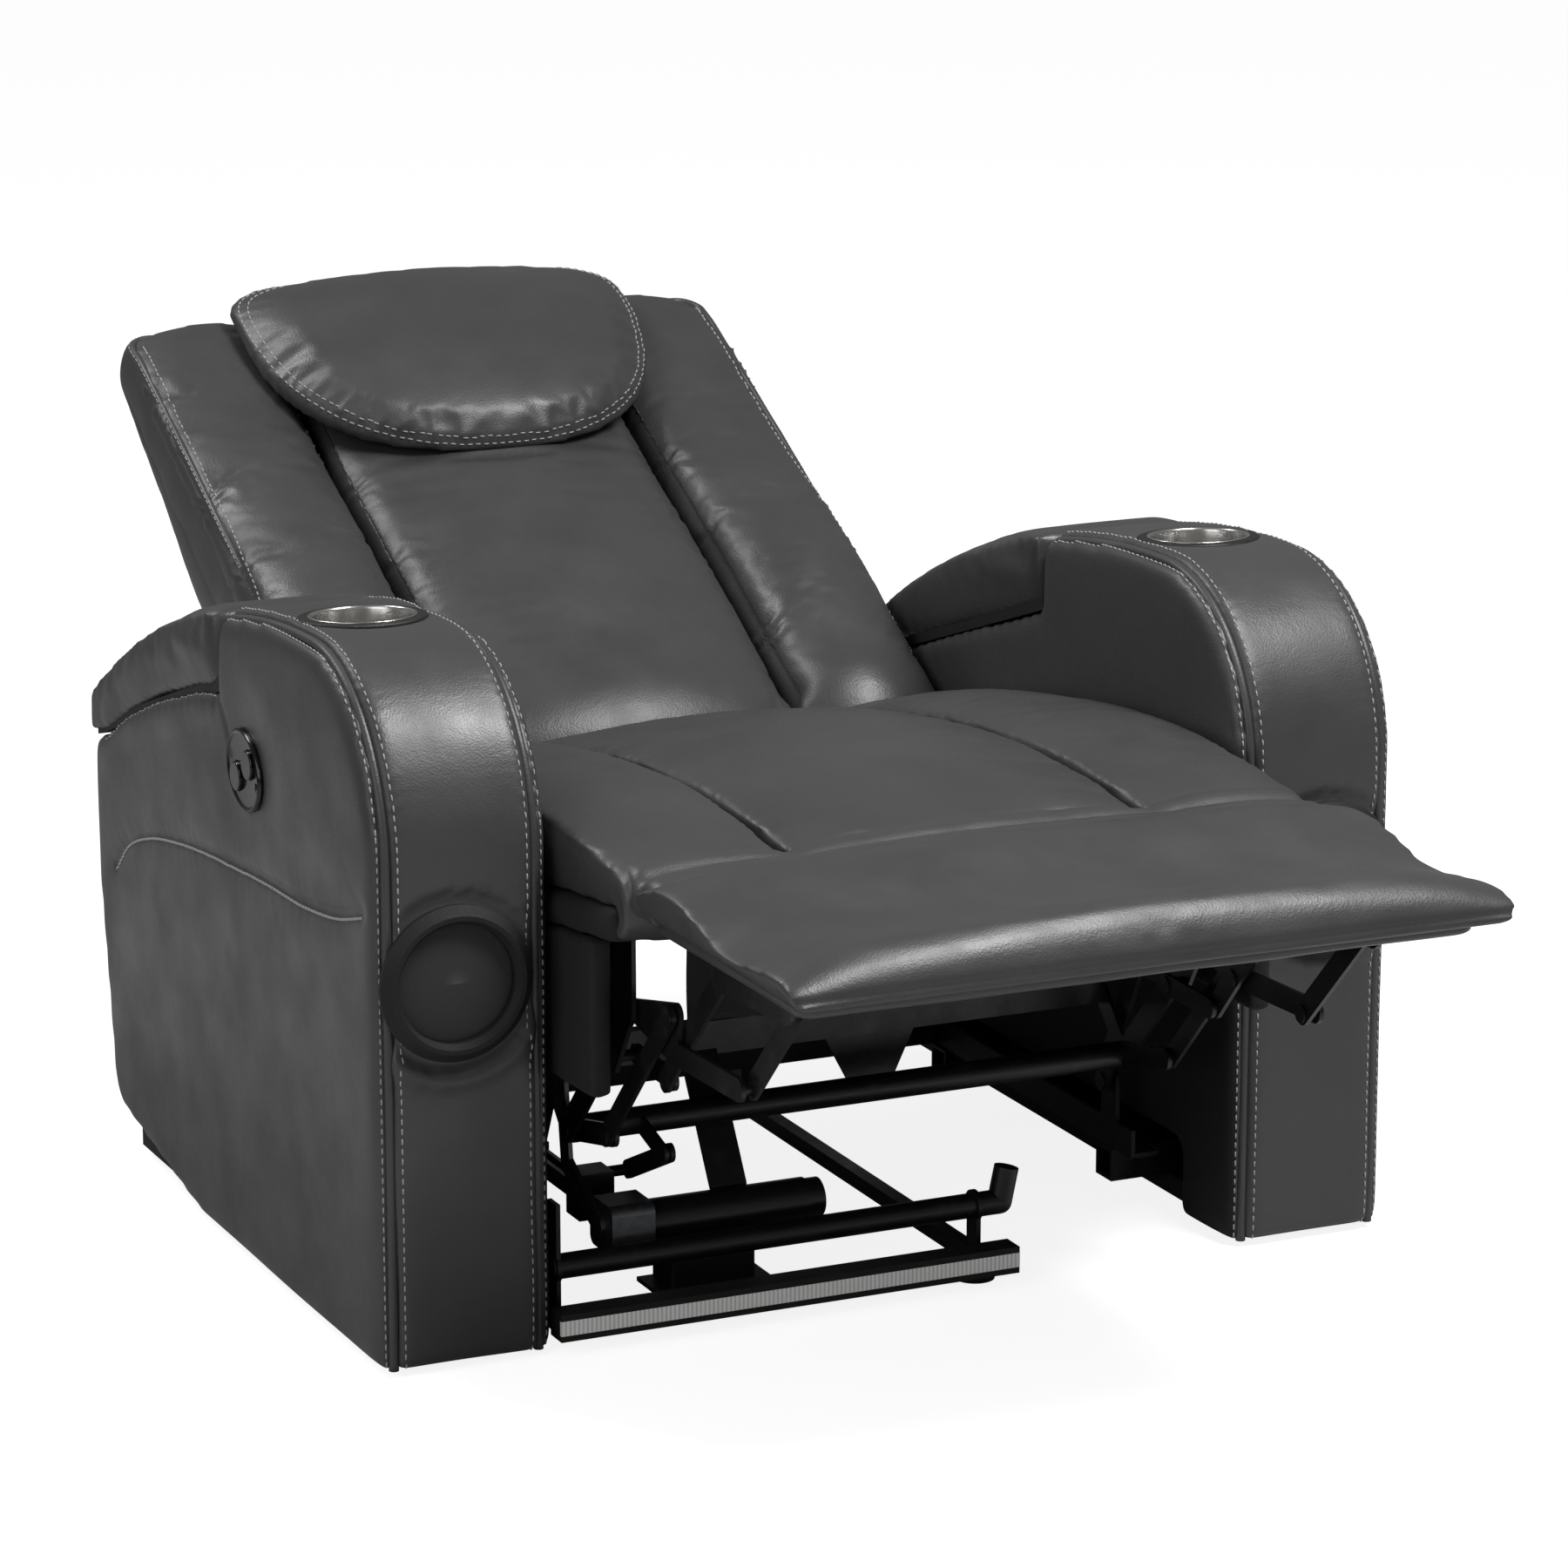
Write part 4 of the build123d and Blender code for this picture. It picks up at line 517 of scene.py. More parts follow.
def piping(name, path, radius, body):
    """A cord in a strip of the cover, sewn into a seam."""
    path = spread(path, 0.005)
    AROUND = 8
    vertices = []
    for i, place in enumerate(path):
        along = Vector(path[min(i + 1, len(path) - 1)] - path[max(i - 1, 0)]).normalized()
        across = along.cross(Vector((1, 0, 0))).normalized()
        for k in range(AROUND):
            turn = 2 * pi * k / AROUND
            vertices.append(Vector(place) + (across * cos(turn) + Vector((sin(turn), 0, 0))) * radius / 1000)
    cord = build(name, vertices, tube(len(path), AROUND))
    coat_smooth(cord, leather)
    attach(cord, body)


def above_lid_edge(points):
    """Free on the lid's top and upper sides, held along its lower edge."""
    edge = np.interp(points[:, 1] + MIDDLE_Y, (374, 550, 704), (507, 464, 392)) + GLIDE_HEIGHT
    return np.clip((points[:, 2] - edge - 14) / 14, 0, 1)


def roll_over_board(panel, side):
    """Rolls the outer panel's top edge up in an arch beside the lid's board."""
    points = read_points(panel.data)
    x, y, z = in_mm(points)
    rise = np.maximum(LID_BOARD - JOINT - np.interp(y, *OUTER_OVERHANG), 0)
    rise *= np.clip((y - 380) / 6, 0, 1) * np.clip((715 - y) / 10, 0, 1)
    rolled = np.clip((side * x - OUTER_X + PANEL - 3) / 4, 0, 1)
    rolled *= np.clip((z - np.interp(y, *PARTING) + 28) / 22, 0, 1)
    points[:, 2] += rise * rolled / 1000
    points[:, 0] += side * ROLL_OUT * rolled * np.clip(rise / 5, 0, 1) / 1000
    write_points(panel.data, points)


def flatten_behind_control(panel):
    """Presses the cover flat where the control's bezel lies on it."""
    points = read_points(panel.data)
    x, y, z = in_mm(points)
    y, z, lean = y - CONTROL[0], z - CONTROL[1], radians(CONTROL_LEAN)
    share = np.hypot((y * cos(lean) + z * sin(lean)) / CONTROL_HALVES[0],
                     (z * cos(lean) - y * sin(lean)) / CONTROL_HALVES[1])
    points[(share < 0.95) & (x < -BEHIND_CONTROL), 0] = -BEHIND_CONTROL / 1000
    write_points(panel.data, points)


def hang_over_board(lid, side):
    """Lets the lid's cover down over the two side edges of its board."""
    points = read_points(lid.data)
    x, y, z = in_mm(points)
    hang = np.interp(y, *OUTER_OVERHANG) * np.clip((side * x - OUTER_X + 13) / 4, 0, 1)
    hang += INNER_OVERHANG * np.clip((INNER_X + 13 - side * x) / 4, 0, 1)
    points[:, 2] -= hang * np.clip((np.interp(y, *PARTING) + LID_BOARD + 26 - z) / 24, 0, 1) / 1000
    write_points(lid.data, points)


for side, word in ((-1, "left"), (1, "right")):
    # The places of an outline in side view, on one plane across the arm.
    def on_arm(x, outline):
        return [at(side * x, y, z) for y, z in outline]

    def to_lid(inset, end=LID_Y):
        return [(y, z) for y, z in arm_outline(inset) if y <= end]

    seam_out, seam_in = OUTER_X - PANEL, INNER_X + PANEL
    s_seam = curve_through(on_arm(OUTER_X, S_SEAM))
    edge_outer = [spread(on_arm(OUTER_X, arm_outline(0)), 0.006), spread(s_seam, 0.006)]

    outer = foam_from(f"arm_{word}_outer_panel", f"arm_{word}_outer_cover", 6.5, ease=7)
    puff_sideways(outer, side, OUTER_X, 4, edge_outer, 22)
    refine(outer)
    sew(outer, [s_seam], depth=2.2, width=4, pucker=0.5, spacing=19, reach=14, seed=3)
    sew(outer, [on_arm(seam_out, arm_outline(0))], depth=0, width=4, pucker=0.2, spacing=13, reach=12, seed=5)
    roll_over_board(outer, side)
    join = curve_through(on_arm(OUTER_X, ((377, 506), (366, 495), (358, 482), (352, 468))))
    sew(outer, [join], depth=2.0, width=4, pucker=0, reach=8, seed=6)
    crumple(outer, 1.3, 190, 4)
    if word == "left":
        flatten_behind_control(outer)
    dress(outer, "base", [f"arm_{word}_outer_panel"])
    under_lid = curve_through(on_arm(OUTER_X, LID_EDGE))

    inner = foam_from(f"arm_{word}_inner_panel", f"arm_{word}_inner_cover", 6.5)
    puff_sideways(inner, side, INNER_X, 4, [spread(on_arm(INNER_X, arm_outline(0)), 0.006)], 22)
    refine(inner)
    crumple(inner, 1.4, 150, 8)
    points = read_points(inner.data)
    near_seat = side * points[:, 0] < (INNER_X - 5) / 1000
    points[near_seat, 0] = side * (INNER_X - 5) / 1000
    write_points(inner.data, points)
    dress(inner, "base", [f"arm_{word}_inner_panel"])
    # Painted shade: low down beside the seat, the inner face gets the black cloth instead of leather, so it
    # reads as the shade that falls there.
    inner.data.materials.append(cloth)
    for polygon in inner.data.polygons:
        below = polygon.center.z * 1000 - GLIDE_HEIGHT < PAINTED_SHADE_TOP_Z
        if below and side * polygon.normal.x < 0.5 and abs(polygon.center.x) * 1000 < INNER_X + PANEL / 2:
            polygon.material_index = 1

    band = foam_from(f"arm_{word}_band", f"arm_{word}_band_cover", 5, ease=6)
    refine(band)
    top_seams = [on_arm(seam_out, to_lid(1)), on_arm(seam_in, to_lid(1))]
    sew(band, top_seams, depth=1.0, width=5, pucker=0.4, spacing=14, reach=12, seed=7)
    # The leather is drawn in under the speaker's ring, and bulges below it.
    for radius, y, turns, depth, width, pucker, spacing, reach in (
            (84, -5, np.linspace(pi, 2 * pi, 60), -3.0, 10, 0, 16, 6),
            (70, -7, np.linspace(0, 2 * pi, 90), 4.0, 9, 1.5, 21, 16)):
        ring = [at(side * SPEAKER_X + radius * cos(t), y, SPEAKER_Z + radius * sin(t)) for t in turns]
        sew(band, [ring], depth=depth, width=width, pucker=pucker, spacing=spacing, reach=reach, seed=11)
    crumple(band, 1.8, 120, 2)
    dress(band, "base", [f"arm_{word}_band"])

    for x, place in ((seam_out, "outer"), (seam_in, "inner")):
        piping(f"arm_{word}_piping_{place}", on_arm(x, to_lid(3.2, LID_Y - 2)), 4.6, "base")
    rows = {x: on_arm(x, to_lid(-2)) for x in (
        seam_out - STITCH_GAP, seam_out + STITCH_GAP, seam_in - STITCH_GAP, seam_in + STITCH_GAP)}
    on_band = [rows[seam_out - STITCH_GAP], rows[seam_in + STITCH_GAP]]
    stitches(f"arm_{word}_stitch_band", band, on_band, "base")
    stitches(f"arm_{word}_stitch_outer", outer, [rows[seam_out + STITCH_GAP], under_lid], "base")
    under_seam = s_seam + np.array((0, 0, -0.005))
    stitches(f"arm_{word}_stitch_curve", outer, [under_seam], "base", pitch=7, thick=1.35)
    stitches(f"arm_{word}_stitch_inner", inner, [rows[seam_in - STITCH_GAP]], "base")

    lid = foam_from(f"lid_{word}", f"lid_{word}_cover", 6)
    inflate(lid, above_lid_edge, 3, 5, slack=0.004)
    refine(lid)
    hang_over_board(lid, side)
    ys = np.linspace(380, 704, 12)
    lows = np.interp(ys, *PARTING) + LID_BOARD
    rims = [on_arm(OUTER_X, zip(ys, lows - np.interp(ys, *OUTER_OVERHANG))),
            on_arm(INNER_X, zip(ys, lows - INNER_OVERHANG))]
    for face in (1, -1):
        stuff(lid, (face, 0, 0), [spread(rim, 0.006) for rim in rims], 5, 18)
    crumple(lid, 1.2, 110, 6)
    dress(lid, f"lid_{word}", [f"lid_{word}"])

rears = foam_from("arm_rear_pads", "arm_rear_covers", 7)
refine(rears)
crumple(rears, 1.5, 120, 3)
dress(rears, "base", ["arm_rear_pads"])


# Cup liners: spun stainless steel cups that drop into the black rings of the cup holders.
# The polished wall mirrors the room, so it reads as bright metal in a dark ring.
stainless, tree = new_material("spun_stainless_steel")
where = add(tree, "ShaderNodeTexCoord").outputs["Object"]
turning = add(tree, "ShaderNodeTexNoise", {"Vector": where, "Scale": 60, "Detail": 2})
polish = add(tree, "ShaderNodeMapRange", {"Value": turning.outputs["Fac"], "To Min": 0.20, "To Max": 0.28})
spun = add(tree, "ShaderNodeBsdfPrincipled", {
    "Base Color": from_hex("c9c8c5"), "Metallic": 1.0, "Roughness": polish.outputs["Result"]})
add(tree, "ShaderNodeOutputMaterial", {"Surface": spun.outputs[0]})
CUP_TOP = (ARM_X, 220.5, 590.27)
CUP_TILT = 3.28
CUP_SHEET = 0.4
# The liner's half section: its radius and its height over the arm's top, from the floor up.
CUP_PROFILE = (
    (0.5, -75.6), (36, -75.6), (41, -74.2), (43.3, -70), (43.5, -30), (43.5, 3), (43.9, 5.0), (44.8, 5.9),
    (46.2, 5.8), (46.8, 5.1))
CUP_AROUND = 72
for side, word in ((-1, "left"), (1, "right")):
    tilt = radians(-CUP_TILT)
    vertices = []
    for radius, height in CUP_PROFILE:
        for k in range(CUP_AROUND):
            turn = 2 * pi * k / CUP_AROUND
            x, y = radius * cos(turn), radius * sin(turn)
            vertices.append(at(
                side * CUP_TOP[0] + x, CUP_TOP[1] + y * cos(tilt) - height * sin(tilt),
                CUP_TOP[2] + y * sin(tilt) + height * cos(tilt)))
    liner = build(f"cup_liner_{word}", vertices, tube(len(CUP_PROFILE), CUP_AROUND)[:-1])
    coat_smooth(liner, stainless)
    with_modifier(liner, "SOLIDIFY", thickness=CUP_SHEET / 1000, offset=0)
    settle(liner)
    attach(liner, "base")


# Seat: three stuffed panels side by side on a padded base, with padded side aprons.
# Each is a foam block in its own cover, sewn to the next in a deep seam.
SEAT_HALF = 320
SEAM_X = 165.12
SEAT_PANELS = (("left", -SEAT_HALF, -SEAM_X), ("centre", -SEAM_X, SEAM_X), ("right", SEAM_X, SEAT_HALF))


def seam_hold(low_x, high_x, reach):
    """Free in the middle of the panel, and held at its two side seams."""
    def free(points):
        gap = np.minimum(points[:, 0] - low_x, high_x - points[:, 0])
        return np.clip(gap / reach, 0, 1)
    return free


def keep_between(piece, low_x, high_x):
    """Keeps the piece clear of its neighbours on both sides."""
    points = read_points(piece.data)
    points[:, 0] = np.clip(points[:, 0], (low_x + 0.4) / 1000, (high_x - 0.4) / 1000)
    write_points(piece.data, points)


# The height of the seams between the panels, as shares of the seat's height, from the front.
SEAT_HEIGHT = 465
SEAT_SEAM = ((-120, 88, 302, 530), (0.953, 0.979, 0.938, 0.822))
SEAT_PAD_Z = 415
for word, low_x, high_x in SEAT_PANELS:
    panel = foam_from(f"seat_panel_{word}", f"seat_cover_{word}", 6)
    hold = seam_hold(low_x, high_x, 14)
    inflate(panel, lambda p: hold(p) * (p[:, 2] > GLIDE_HEIGHT + SEAT_PAD_Z), 3, 5, slack=0.003)
    keep_between(panel, low_x, high_x)
    refine(panel)
    edges = []
    for x in (low_x, high_x):
        ys = np.linspace(-150, 560, 60)
        edges.append([at(x, y, share * SEAT_HEIGHT) for y, share in zip(ys, np.interp(ys, *SEAT_SEAM))])
    sew(panel, edges, depth=2.0, width=9, pucker=0.9, spacing=25, reach=24, seed=13)
    crumple(panel, 2.4, 140, 5)
    dress(panel, "seat", [f"seat_panel_{word}"])

base_cover = foam_from("seat_base", "seat_base_cover", 7)
refine(base_cover)
dress(base_cover, "seat", ["seat_base"], material=cloth)

# Side aprons: lining cloth over foam, which closes the seat's sides down to the mechanism. The cloth's black
# is painted shade: it stands in for the shade that falls on the seat's sides.
APRON_GAP = 0.6
aprons = foam_from("seat_aprons", "seat_apron_covers", 6)
refine(aprons)
crumple(aprons, 2.5, 90, 7)
keep_between(aprons, APRON_GAP - SEAT_HALF, SEAT_HALF - APRON_GAP)
dress(aprons, "seat", ["seat_aprons"], material=cloth)


# Front valance: a loose strip of lining cloth that hangs under the seat's front edge.
# Its slow folds grow towards the uneven hem.
VALANCE_HALF = 238
VALANCE_Y = -84
VALANCE_TOP_Z = 384
VALANCE_DROP = 88
VALANCE_CLOTH = 1.2
ACROSS, DOWN = 70, 14


def sheet_faces(rows, columns, base=0):
    """The faces of a sheet whose points are laid row after row."""
    faces = []
    for i in range(rows - 1):
        for j in range(columns - 1):
            a, b = base + i * columns + j, base + (i + 1) * columns + j
            faces.append((a, a + 1, b + 1, b))
    return faces


vertices = []
for x in np.linspace(-VALANCE_HALF, VALANCE_HALF, ACROSS):
    for share in np.linspace(0, 1, DOWN):
        fold = 5 * share * noise.noise(Vector((x / 60, share, 2)))
        hem = 6 * noise.noise(Vector((x / 90, 7, 4)))
        vertices.append(at(x, VALANCE_Y + fold, VALANCE_TOP_Z - share * (VALANCE_DROP + hem)))
valance = build("front_valance", vertices, sheet_faces(ACROSS, DOWN))
with_modifier(valance, "SOLIDIFY", thickness=VALANCE_CLOTH / 1000, offset=0)
settle(valance)
coat_smooth(valance, cloth)
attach(valance, "seat")


# Footrest: a foam pad in a leatherette cover over a board that is covered in the same skin.
# Its front edge rises to a ridge and then turns down over the board.
FOOT_HALF = 320
FOOT_FLAT_HALF = 236
FOOT_PAD_Z = 415
FOOT_TAPER_Y, FOOT_TAPER = -215, 150
FOOT_RIDGE_Y, FOOT_RIDGE_REACH, FOOT_RIDGE = -300, 75, 4
FOOT_SEAM_Y, FOOT_SEAM_Z, FOOT_SEAM_HALF = -468, 424, 312


def foot_free(points):
    """Free over the pad, and held low down and at its two ends."""
    ends = np.clip((FOOT_HALF - np.abs(points[:, 0])) / 10, 0, 1)
    return (points[:, 2] > GLIDE_HEIGHT + FOOT_PAD_Z + 4) * ends


foot = foam_from("footrest_pad", "footrest_cover", 6)
inflate(foot, foot_free, 2.0, 3, slack=0.0005)
refine(foot)
points = read_points(foot.data)
x, y, z = in_mm(points)
# The pad gets thinner towards its two ends, more so in front, and stands highest at the ridge.
over = np.clip((np.abs(x) - FOOT_FLAT_HALF) / (FOOT_HALF - FOOT_FLAT_HALF), 0, 1)
ahead = np.clip((FOOT_TAPER_Y - y) / FOOT_TAPER, 0, 1)
points[:, 2] -= np.clip((z - FOOT_PAD_Z - 4) / 28, 0, 1) * over ** 2 * (4 + 7 * ahead) / 1000
ridge = np.exp(-((y - FOOT_RIDGE_Y) / FOOT_RIDGE_REACH) ** 2) * np.clip((z - 432) / 10, 0, 1)
points[:, 2] += ridge * FOOT_RIDGE / 1000
write_points(foot.data, points)
crumple(foot, 1.6, 170, 9)
low_seam = [at(x, FOOT_SEAM_Y, FOOT_SEAM_Z) for x in np.linspace(-FOOT_SEAM_HALF, FOOT_SEAM_HALF, 80)]
sew(foot, [low_seam], depth=2.2, width=4, pucker=0.3, reach=10, seed=21)
dress(foot, "footrest", ["footrest_pad"])
foot_board = foam_from("footrest_board", "footrest_board_cover", 6)
refine(foot_board)
crumple(foot_board, 1.0, 80, 10)
dress(foot_board, "footrest", ["footrest_board"])


# Knuckle: a strip of the same cover that bridges the fold between the seat and the footrest.
# It is sewn to the seat's nose and to the pad.
KNUCKLE_HALF = 316
KNUCKLE_FROM, KNUCKLE_TO = -112, -186
seat_skins = [bpy.data.objects[f"seat_cover_{word}"] for word, _, _ in SEAT_PANELS]


def heights_on(skins, xs, y):
    """The height of the covers at places across the chair, carried over the seams between them."""
    found_x, heights = [], []
    for skin in skins:
        mesh = skin.data
        skin_tree = BVHTree.FromPolygons([v.co for v in mesh.vertices], [p.vertices for p in mesh.polygons])
        for x in xs:
            place = skin_tree.ray_cast(at(x, y, 600), Vector((0, 0, -1)))[0]
            if place is not None and abs(x) < KNUCKLE_HALF - 16:
                found_x.append(x)
                heights.append(place.z * 1000 - GLIDE_HEIGHT)
    order = np.argsort(found_x)
    return np.interp(xs, np.array(found_x)[order], np.array(heights)[order])


ACROSS, ALONG = 96, 30
SEAM_AT = 0.52
SEAM_PULL = 7.5
TUCK = 3.5
PUCKER = 0.7
END_ROUND = 20
KNUCKLE_LOW_Z = 412
xs = np.linspace(-KNUCKLE_HALF, KNUCKLE_HALF, ACROSS)
seat_z = heights_on(seat_skins, xs, KNUCKLE_FROM)
foot_z = heights_on([foot], xs, KNUCKLE_TO)
top, low = [], []
for i, x in enumerate(xs):
    over = max(0, abs(x) - (KNUCKLE_HALF - END_ROUND))
    turn_down = END_ROUND - np.sqrt(max(0, END_ROUND ** 2 - over ** 2))
    for t in np.linspace(0, 1, ALONG):
        pull = SEAM_PULL * np.exp(-((t - SEAM_AT) / 0.13) ** 2)
        tuck = TUCK * (np.exp(-t / 0.05) + np.exp(-(1 - t) / 0.05))
        pucker = PUCKER * noise.noise(Vector((x / 17, t * 2, 3))) * np.exp(-((t - SEAM_AT) / 0.25) ** 2)
        z = seat_z[i] * (1 - t) + foot_z[i] * t + 0.6 - pull - tuck - turn_down + pucker
        y = KNUCKLE_FROM + t * (KNUCKLE_TO - KNUCKLE_FROM)
        top.append(at(x, y, z))
        low.append(at(x * 0.985, y, min(z - 6, KNUCKLE_LOW_Z)))
faces = sheet_faces(ACROSS, ALONG) + [face[::-1] for face in sheet_faces(ACROSS, ALONG, len(top))]
rim = [i * ALONG for i in range(ACROSS)] + [(ACROSS - 1) * ALONG + j for j in range(1, ALONG)]
rim += [i * ALONG + ALONG - 1 for i in range(ACROSS - 2, -1, -1)] + [j for j in range(ALONG - 2, 0, -1)]
for a, b in zip(rim, rim[1:] + rim[:1]):
    faces.append((a, b, len(top) + b, len(top) + a))
knuckle = build("knuckle_cover", top + low, faces)
refine(knuckle)
coat_smooth(knuckle, leather)
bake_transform(knuckle)


# Back: three long stuffed channels that roll under at the foot, on a padded shell.
# The valleys between them are sewn deep, so the covers pull in towards them.
BACK_SLOPE = 30
BACK_FOOT = (640, 411)
BACK_HALF = 312


def on_back(x, along, height):
    """A place on the back: across, up its own slope, and out from the seam line."""
    turn = radians(BACK_SLOPE)
    return at(x, BACK_FOOT[0] + along * cos(turn) - height * sin(turn),
              BACK_FOOT[1] + along * sin(turn) + height * cos(turn))


def back_place(points):
    """Across, along the slope and out from it, as on_back() takes them, of points in mm."""
    turn = radians(BACK_SLOPE)
    y = points[:, 1] + MIDDLE_Y - BACK_FOOT[0]
    z = points[:, 2] - GLIDE_HEIGHT - BACK_FOOT[1]
    return points[:, 0], y * cos(turn) + z * sin(turn), z * cos(turn) - y * sin(turn)


# The height of the channels' seams over the seam line, in shares of 45 mm, by the share of
# the back's length from its foot.
BACK_LOW, BACK_LENGTH = -51, 626
SHARES = (0, 0.21, 0.45, 0.69, 0.92, 1)
VALLEY_SHARES = (0.30, 0.28, 0.16, 0.04, -0.10, -0.40)
CHANNEL_HEIGHT = 45
for node, low_x, high_x in (
        ("back_bolster_left", -BACK_HALF, -SEAM_X), ("back_centre", -SEAM_X, SEAM_X),
        ("back_bolster_right", SEAM_X, BACK_HALF)):
    panel = foam_from(node, node.replace("back_", "back_cover_"), 6)
    hold = seam_hold(low_x, high_x, 16)
    inflate(panel, lambda p: hold(p) * (back_place(p)[2] > -30), 3, 9, slack=0.004)
    keep_between(panel, low_x, high_x)
    refine(panel)
    side = np.sign(low_x + high_x)
    if side:
        rims = [[on_back(side * BACK_HALF, a, h) for a in np.linspace(-60, 585, 80)] for h in (14, -44)]
        stuff(panel, (side, 0, 0), rims, 7, 14)
    edges = {}
    for x in (low_x, high_x):
        alongs = np.linspace(BACK_LOW, BACK_LOW + BACK_LENGTH, 60)
        heights = np.interp((alongs - BACK_LOW) / BACK_LENGTH, SHARES, VALLEY_SHARES) * CHANNEL_HEIGHT
        edges[x] = [on_back(x, a, h) for a, h in zip(alongs, heights)]
    valleys = [edge for x, edge in edges.items() if abs(x) < BACK_HALF]
    sew(panel, valleys, depth=8.0, width=17, pucker=0, seed=17)
    sew(panel, list(edges.values()), depth=1.5, width=6, pucker=1.6, spacing=31, reach=30, seed=17)
    crumple(panel, 2.2, 170, 12)
    dress(panel, "back", [node])
    if side:
        row = [on_back(side * (BACK_HALF - 7), a, 15) for a in np.linspace(20, 560, 80)]
        stitches(f"back_stitch_{node[-5:].strip('_')}", panel, [row], "back")


# Head pillow: a half-round cushion, double stitched along its curved edge. It is filled loosely,
# so it stands proud of the channels and rounds over towards its seam.
pillow = foam_from("head_pillow", "head_pillow_cover", 5.5)
inflate(pillow, lambda p: np.clip((back_place(p)[2] - 22) / 10, 0, 1), 3, 6, slack=0.0025)
PILLOW_START = 312.1
PILLOW_LENGTH = 285
PILLOW_HALF = 212.2
PILLOW_OUTLINE = (
    (0.0, 0.0), (0.02, 0.30), (0.11, 0.59), (0.25, 0.80), (0.45, 0.94), (0.72, 1.0), (0.90, 0.97),
    (0.985, 0.80), (1.0, 0.60))


def pillow_edge(inset, height):
    """The pillow's outline on the back, drawn in by the inset, from its right end to its left."""
    half = [(width * (PILLOW_HALF - inset), inset + along * (PILLOW_LENGTH - 2 * inset))
            for along, width in PILLOW_OUTLINE]
    places = [(-x, a) for x, a in reversed(half[1:])] + half
    return curve_through([on_back(x, PILLOW_START + a, height) for x, a in places], per_span=6)


pillow_top = [on_back(x, PILLOW_START + PILLOW_LENGTH, 12) for x in np.linspace(-140, 140, 60)]
back_normal = (0, -sin(radians(BACK_SLOPE)), cos(radians(BACK_SLOPE)))
refine(pillow)
stuff(pillow, back_normal, [pillow_edge(-2, 26), pillow_top], 11, 40)
crumple(pillow, 1.4, 130, 14)
dress(pillow, "back", ["head_pillow"])
stitches("pillow_stitch", pillow, [pillow_edge(5, 34)[4:-4], pillow_edge(13, 38)[4:-4]], "back")

# The padded shell behind the channels. Its sides are stuffed, so they show as one soft bulge.
shell = foam_from("back_shell", "back_shell_cover", 7)
refine(shell)
SHELL_SIDE = ((-40, 0), (560, -25), (575, -80), (300, -110), (-20, -100))
for side in (-1, 1):
    around = [on_back(side * BACK_HALF, a, h) for a, h in SHELL_SIDE]
    stuff(shell, (side, 0, 0), [around + around[:1]], 6, 20)
crumple(shell, 3.0, 160, 15)
dress(shell, "back", ["back_shell"])


# Boxing of the back: the padded leatherette strip that runs up both sides and over the top,
# sewn between the three channels in front and the shell behind, with a row of stitches.
FRONT_HEIGHTS = (13.5, 12.6, 7.2, 1.8, -4.5, -14.0)
FRONT_LIFT = 5
REAR_SHARES, REAR_HEIGHTS = (0, 0.04, 0.32, 0.62, 1), (-90, -112, -118, -92, -62)
TOP_ALONG = 575
ROUND_CORNER = 26
STRAIGHT_TO = TOP_ALONG - ROUND_CORNER
path = [(-BACK_HALF, a) for a in np.linspace(-20, STRAIGHT_TO, 70)]
path += [(-BACK_HALF + ROUND_CORNER * (1 - cos(t)), STRAIGHT_TO + ROUND_CORNER * sin(t))
         for t in np.linspace(0, pi / 2, 12)[1:]]
path += [(x, TOP_ALONG) for x in np.linspace(-BACK_HALF + ROUND_CORNER, 0, 34)[1:]]
path += [(-x, a) for x, a in reversed(path[:-1])]
path = np.array(path)
run = np.gradient(path, axis=0)
run /= np.linalg.norm(run, axis=1, keepdims=True)
out = np.stack([-run[:, 1], run[:, 0]], axis=1)
STEPS = 12
HIDDEN_DEPTH = 9
vertices, front_edge = [], []
for i, ((x, a), (out_x, out_a)) in enumerate(zip(path, out)):
    share = (a - BACK_LOW) / BACK_LENGTH
    high = np.interp(share, SHARES, FRONT_HEIGHTS) + FRONT_LIFT
    low = np.interp(share, REAR_SHARES, REAR_HEIGHTS)
    for t in np.linspace(0, 1, STEPS):
        swell = 1.6 + 3.4 * sin(pi * t) - 4.5 * (np.exp(-t / 0.07) + np.exp(-(1 - t) / 0.07))
        swell += 0.8 * noise.noise(Vector((i / 5, t * 3, 5)))
        vertices.append(on_back(x + out_x * swell, a + out_a * swell, high + t * (low - high)))
    for height in (low + 3, high - 3):
        vertices.append(on_back(x - out_x * HIDDEN_DEPTH, a - out_a * HIDDEN_DEPTH, height))
    front_edge.append(on_back(x + out_x, a + out_a, high - 4))
boxing = build("back_boxing", vertices, tube(len(path), STEPS + 2))
refine(boxing)
coat_smooth(boxing, leather)
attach(boxing, "back")
stitches("boxing_stitch", boxing, [front_edge], "back")


# Recliner mechanism: pressed steel links, plates, tubes and rails in satin black paint.
# The paint is sprayed and baked, with a faint orange peel and worn spots here and there.
steel, tree = new_material("baked_black_paint_on_steel")
where = add(tree, "ShaderNodeTexCoord").outputs["Object"]
peel = add(tree, "ShaderNodeTexNoise", {"Vector": where, "Scale": 260, "Detail": 3})
scuff = add(tree, "ShaderNodeTexNoise", {"Vector": where, "Scale": 38, "Detail": 7, "Roughness": 0.7})
worn = add(tree, "ShaderNodeMapRange", {"Value": scuff.outputs["Fac"], "From Min": 0.55, "From Max": 0.75})
coat = add(tree, "ShaderNodeMix", {
    0: worn.outputs["Result"], 6: from_hex("121213"), 7: from_hex("252526")}, data_type="RGBA")
shine = add(tree, "ShaderNodeMapRange", {
    "Value": scuff.outputs["Fac"], "From Min": 0.3, "From Max": 0.7, "To Min": 0.28, "To Max": 0.46})
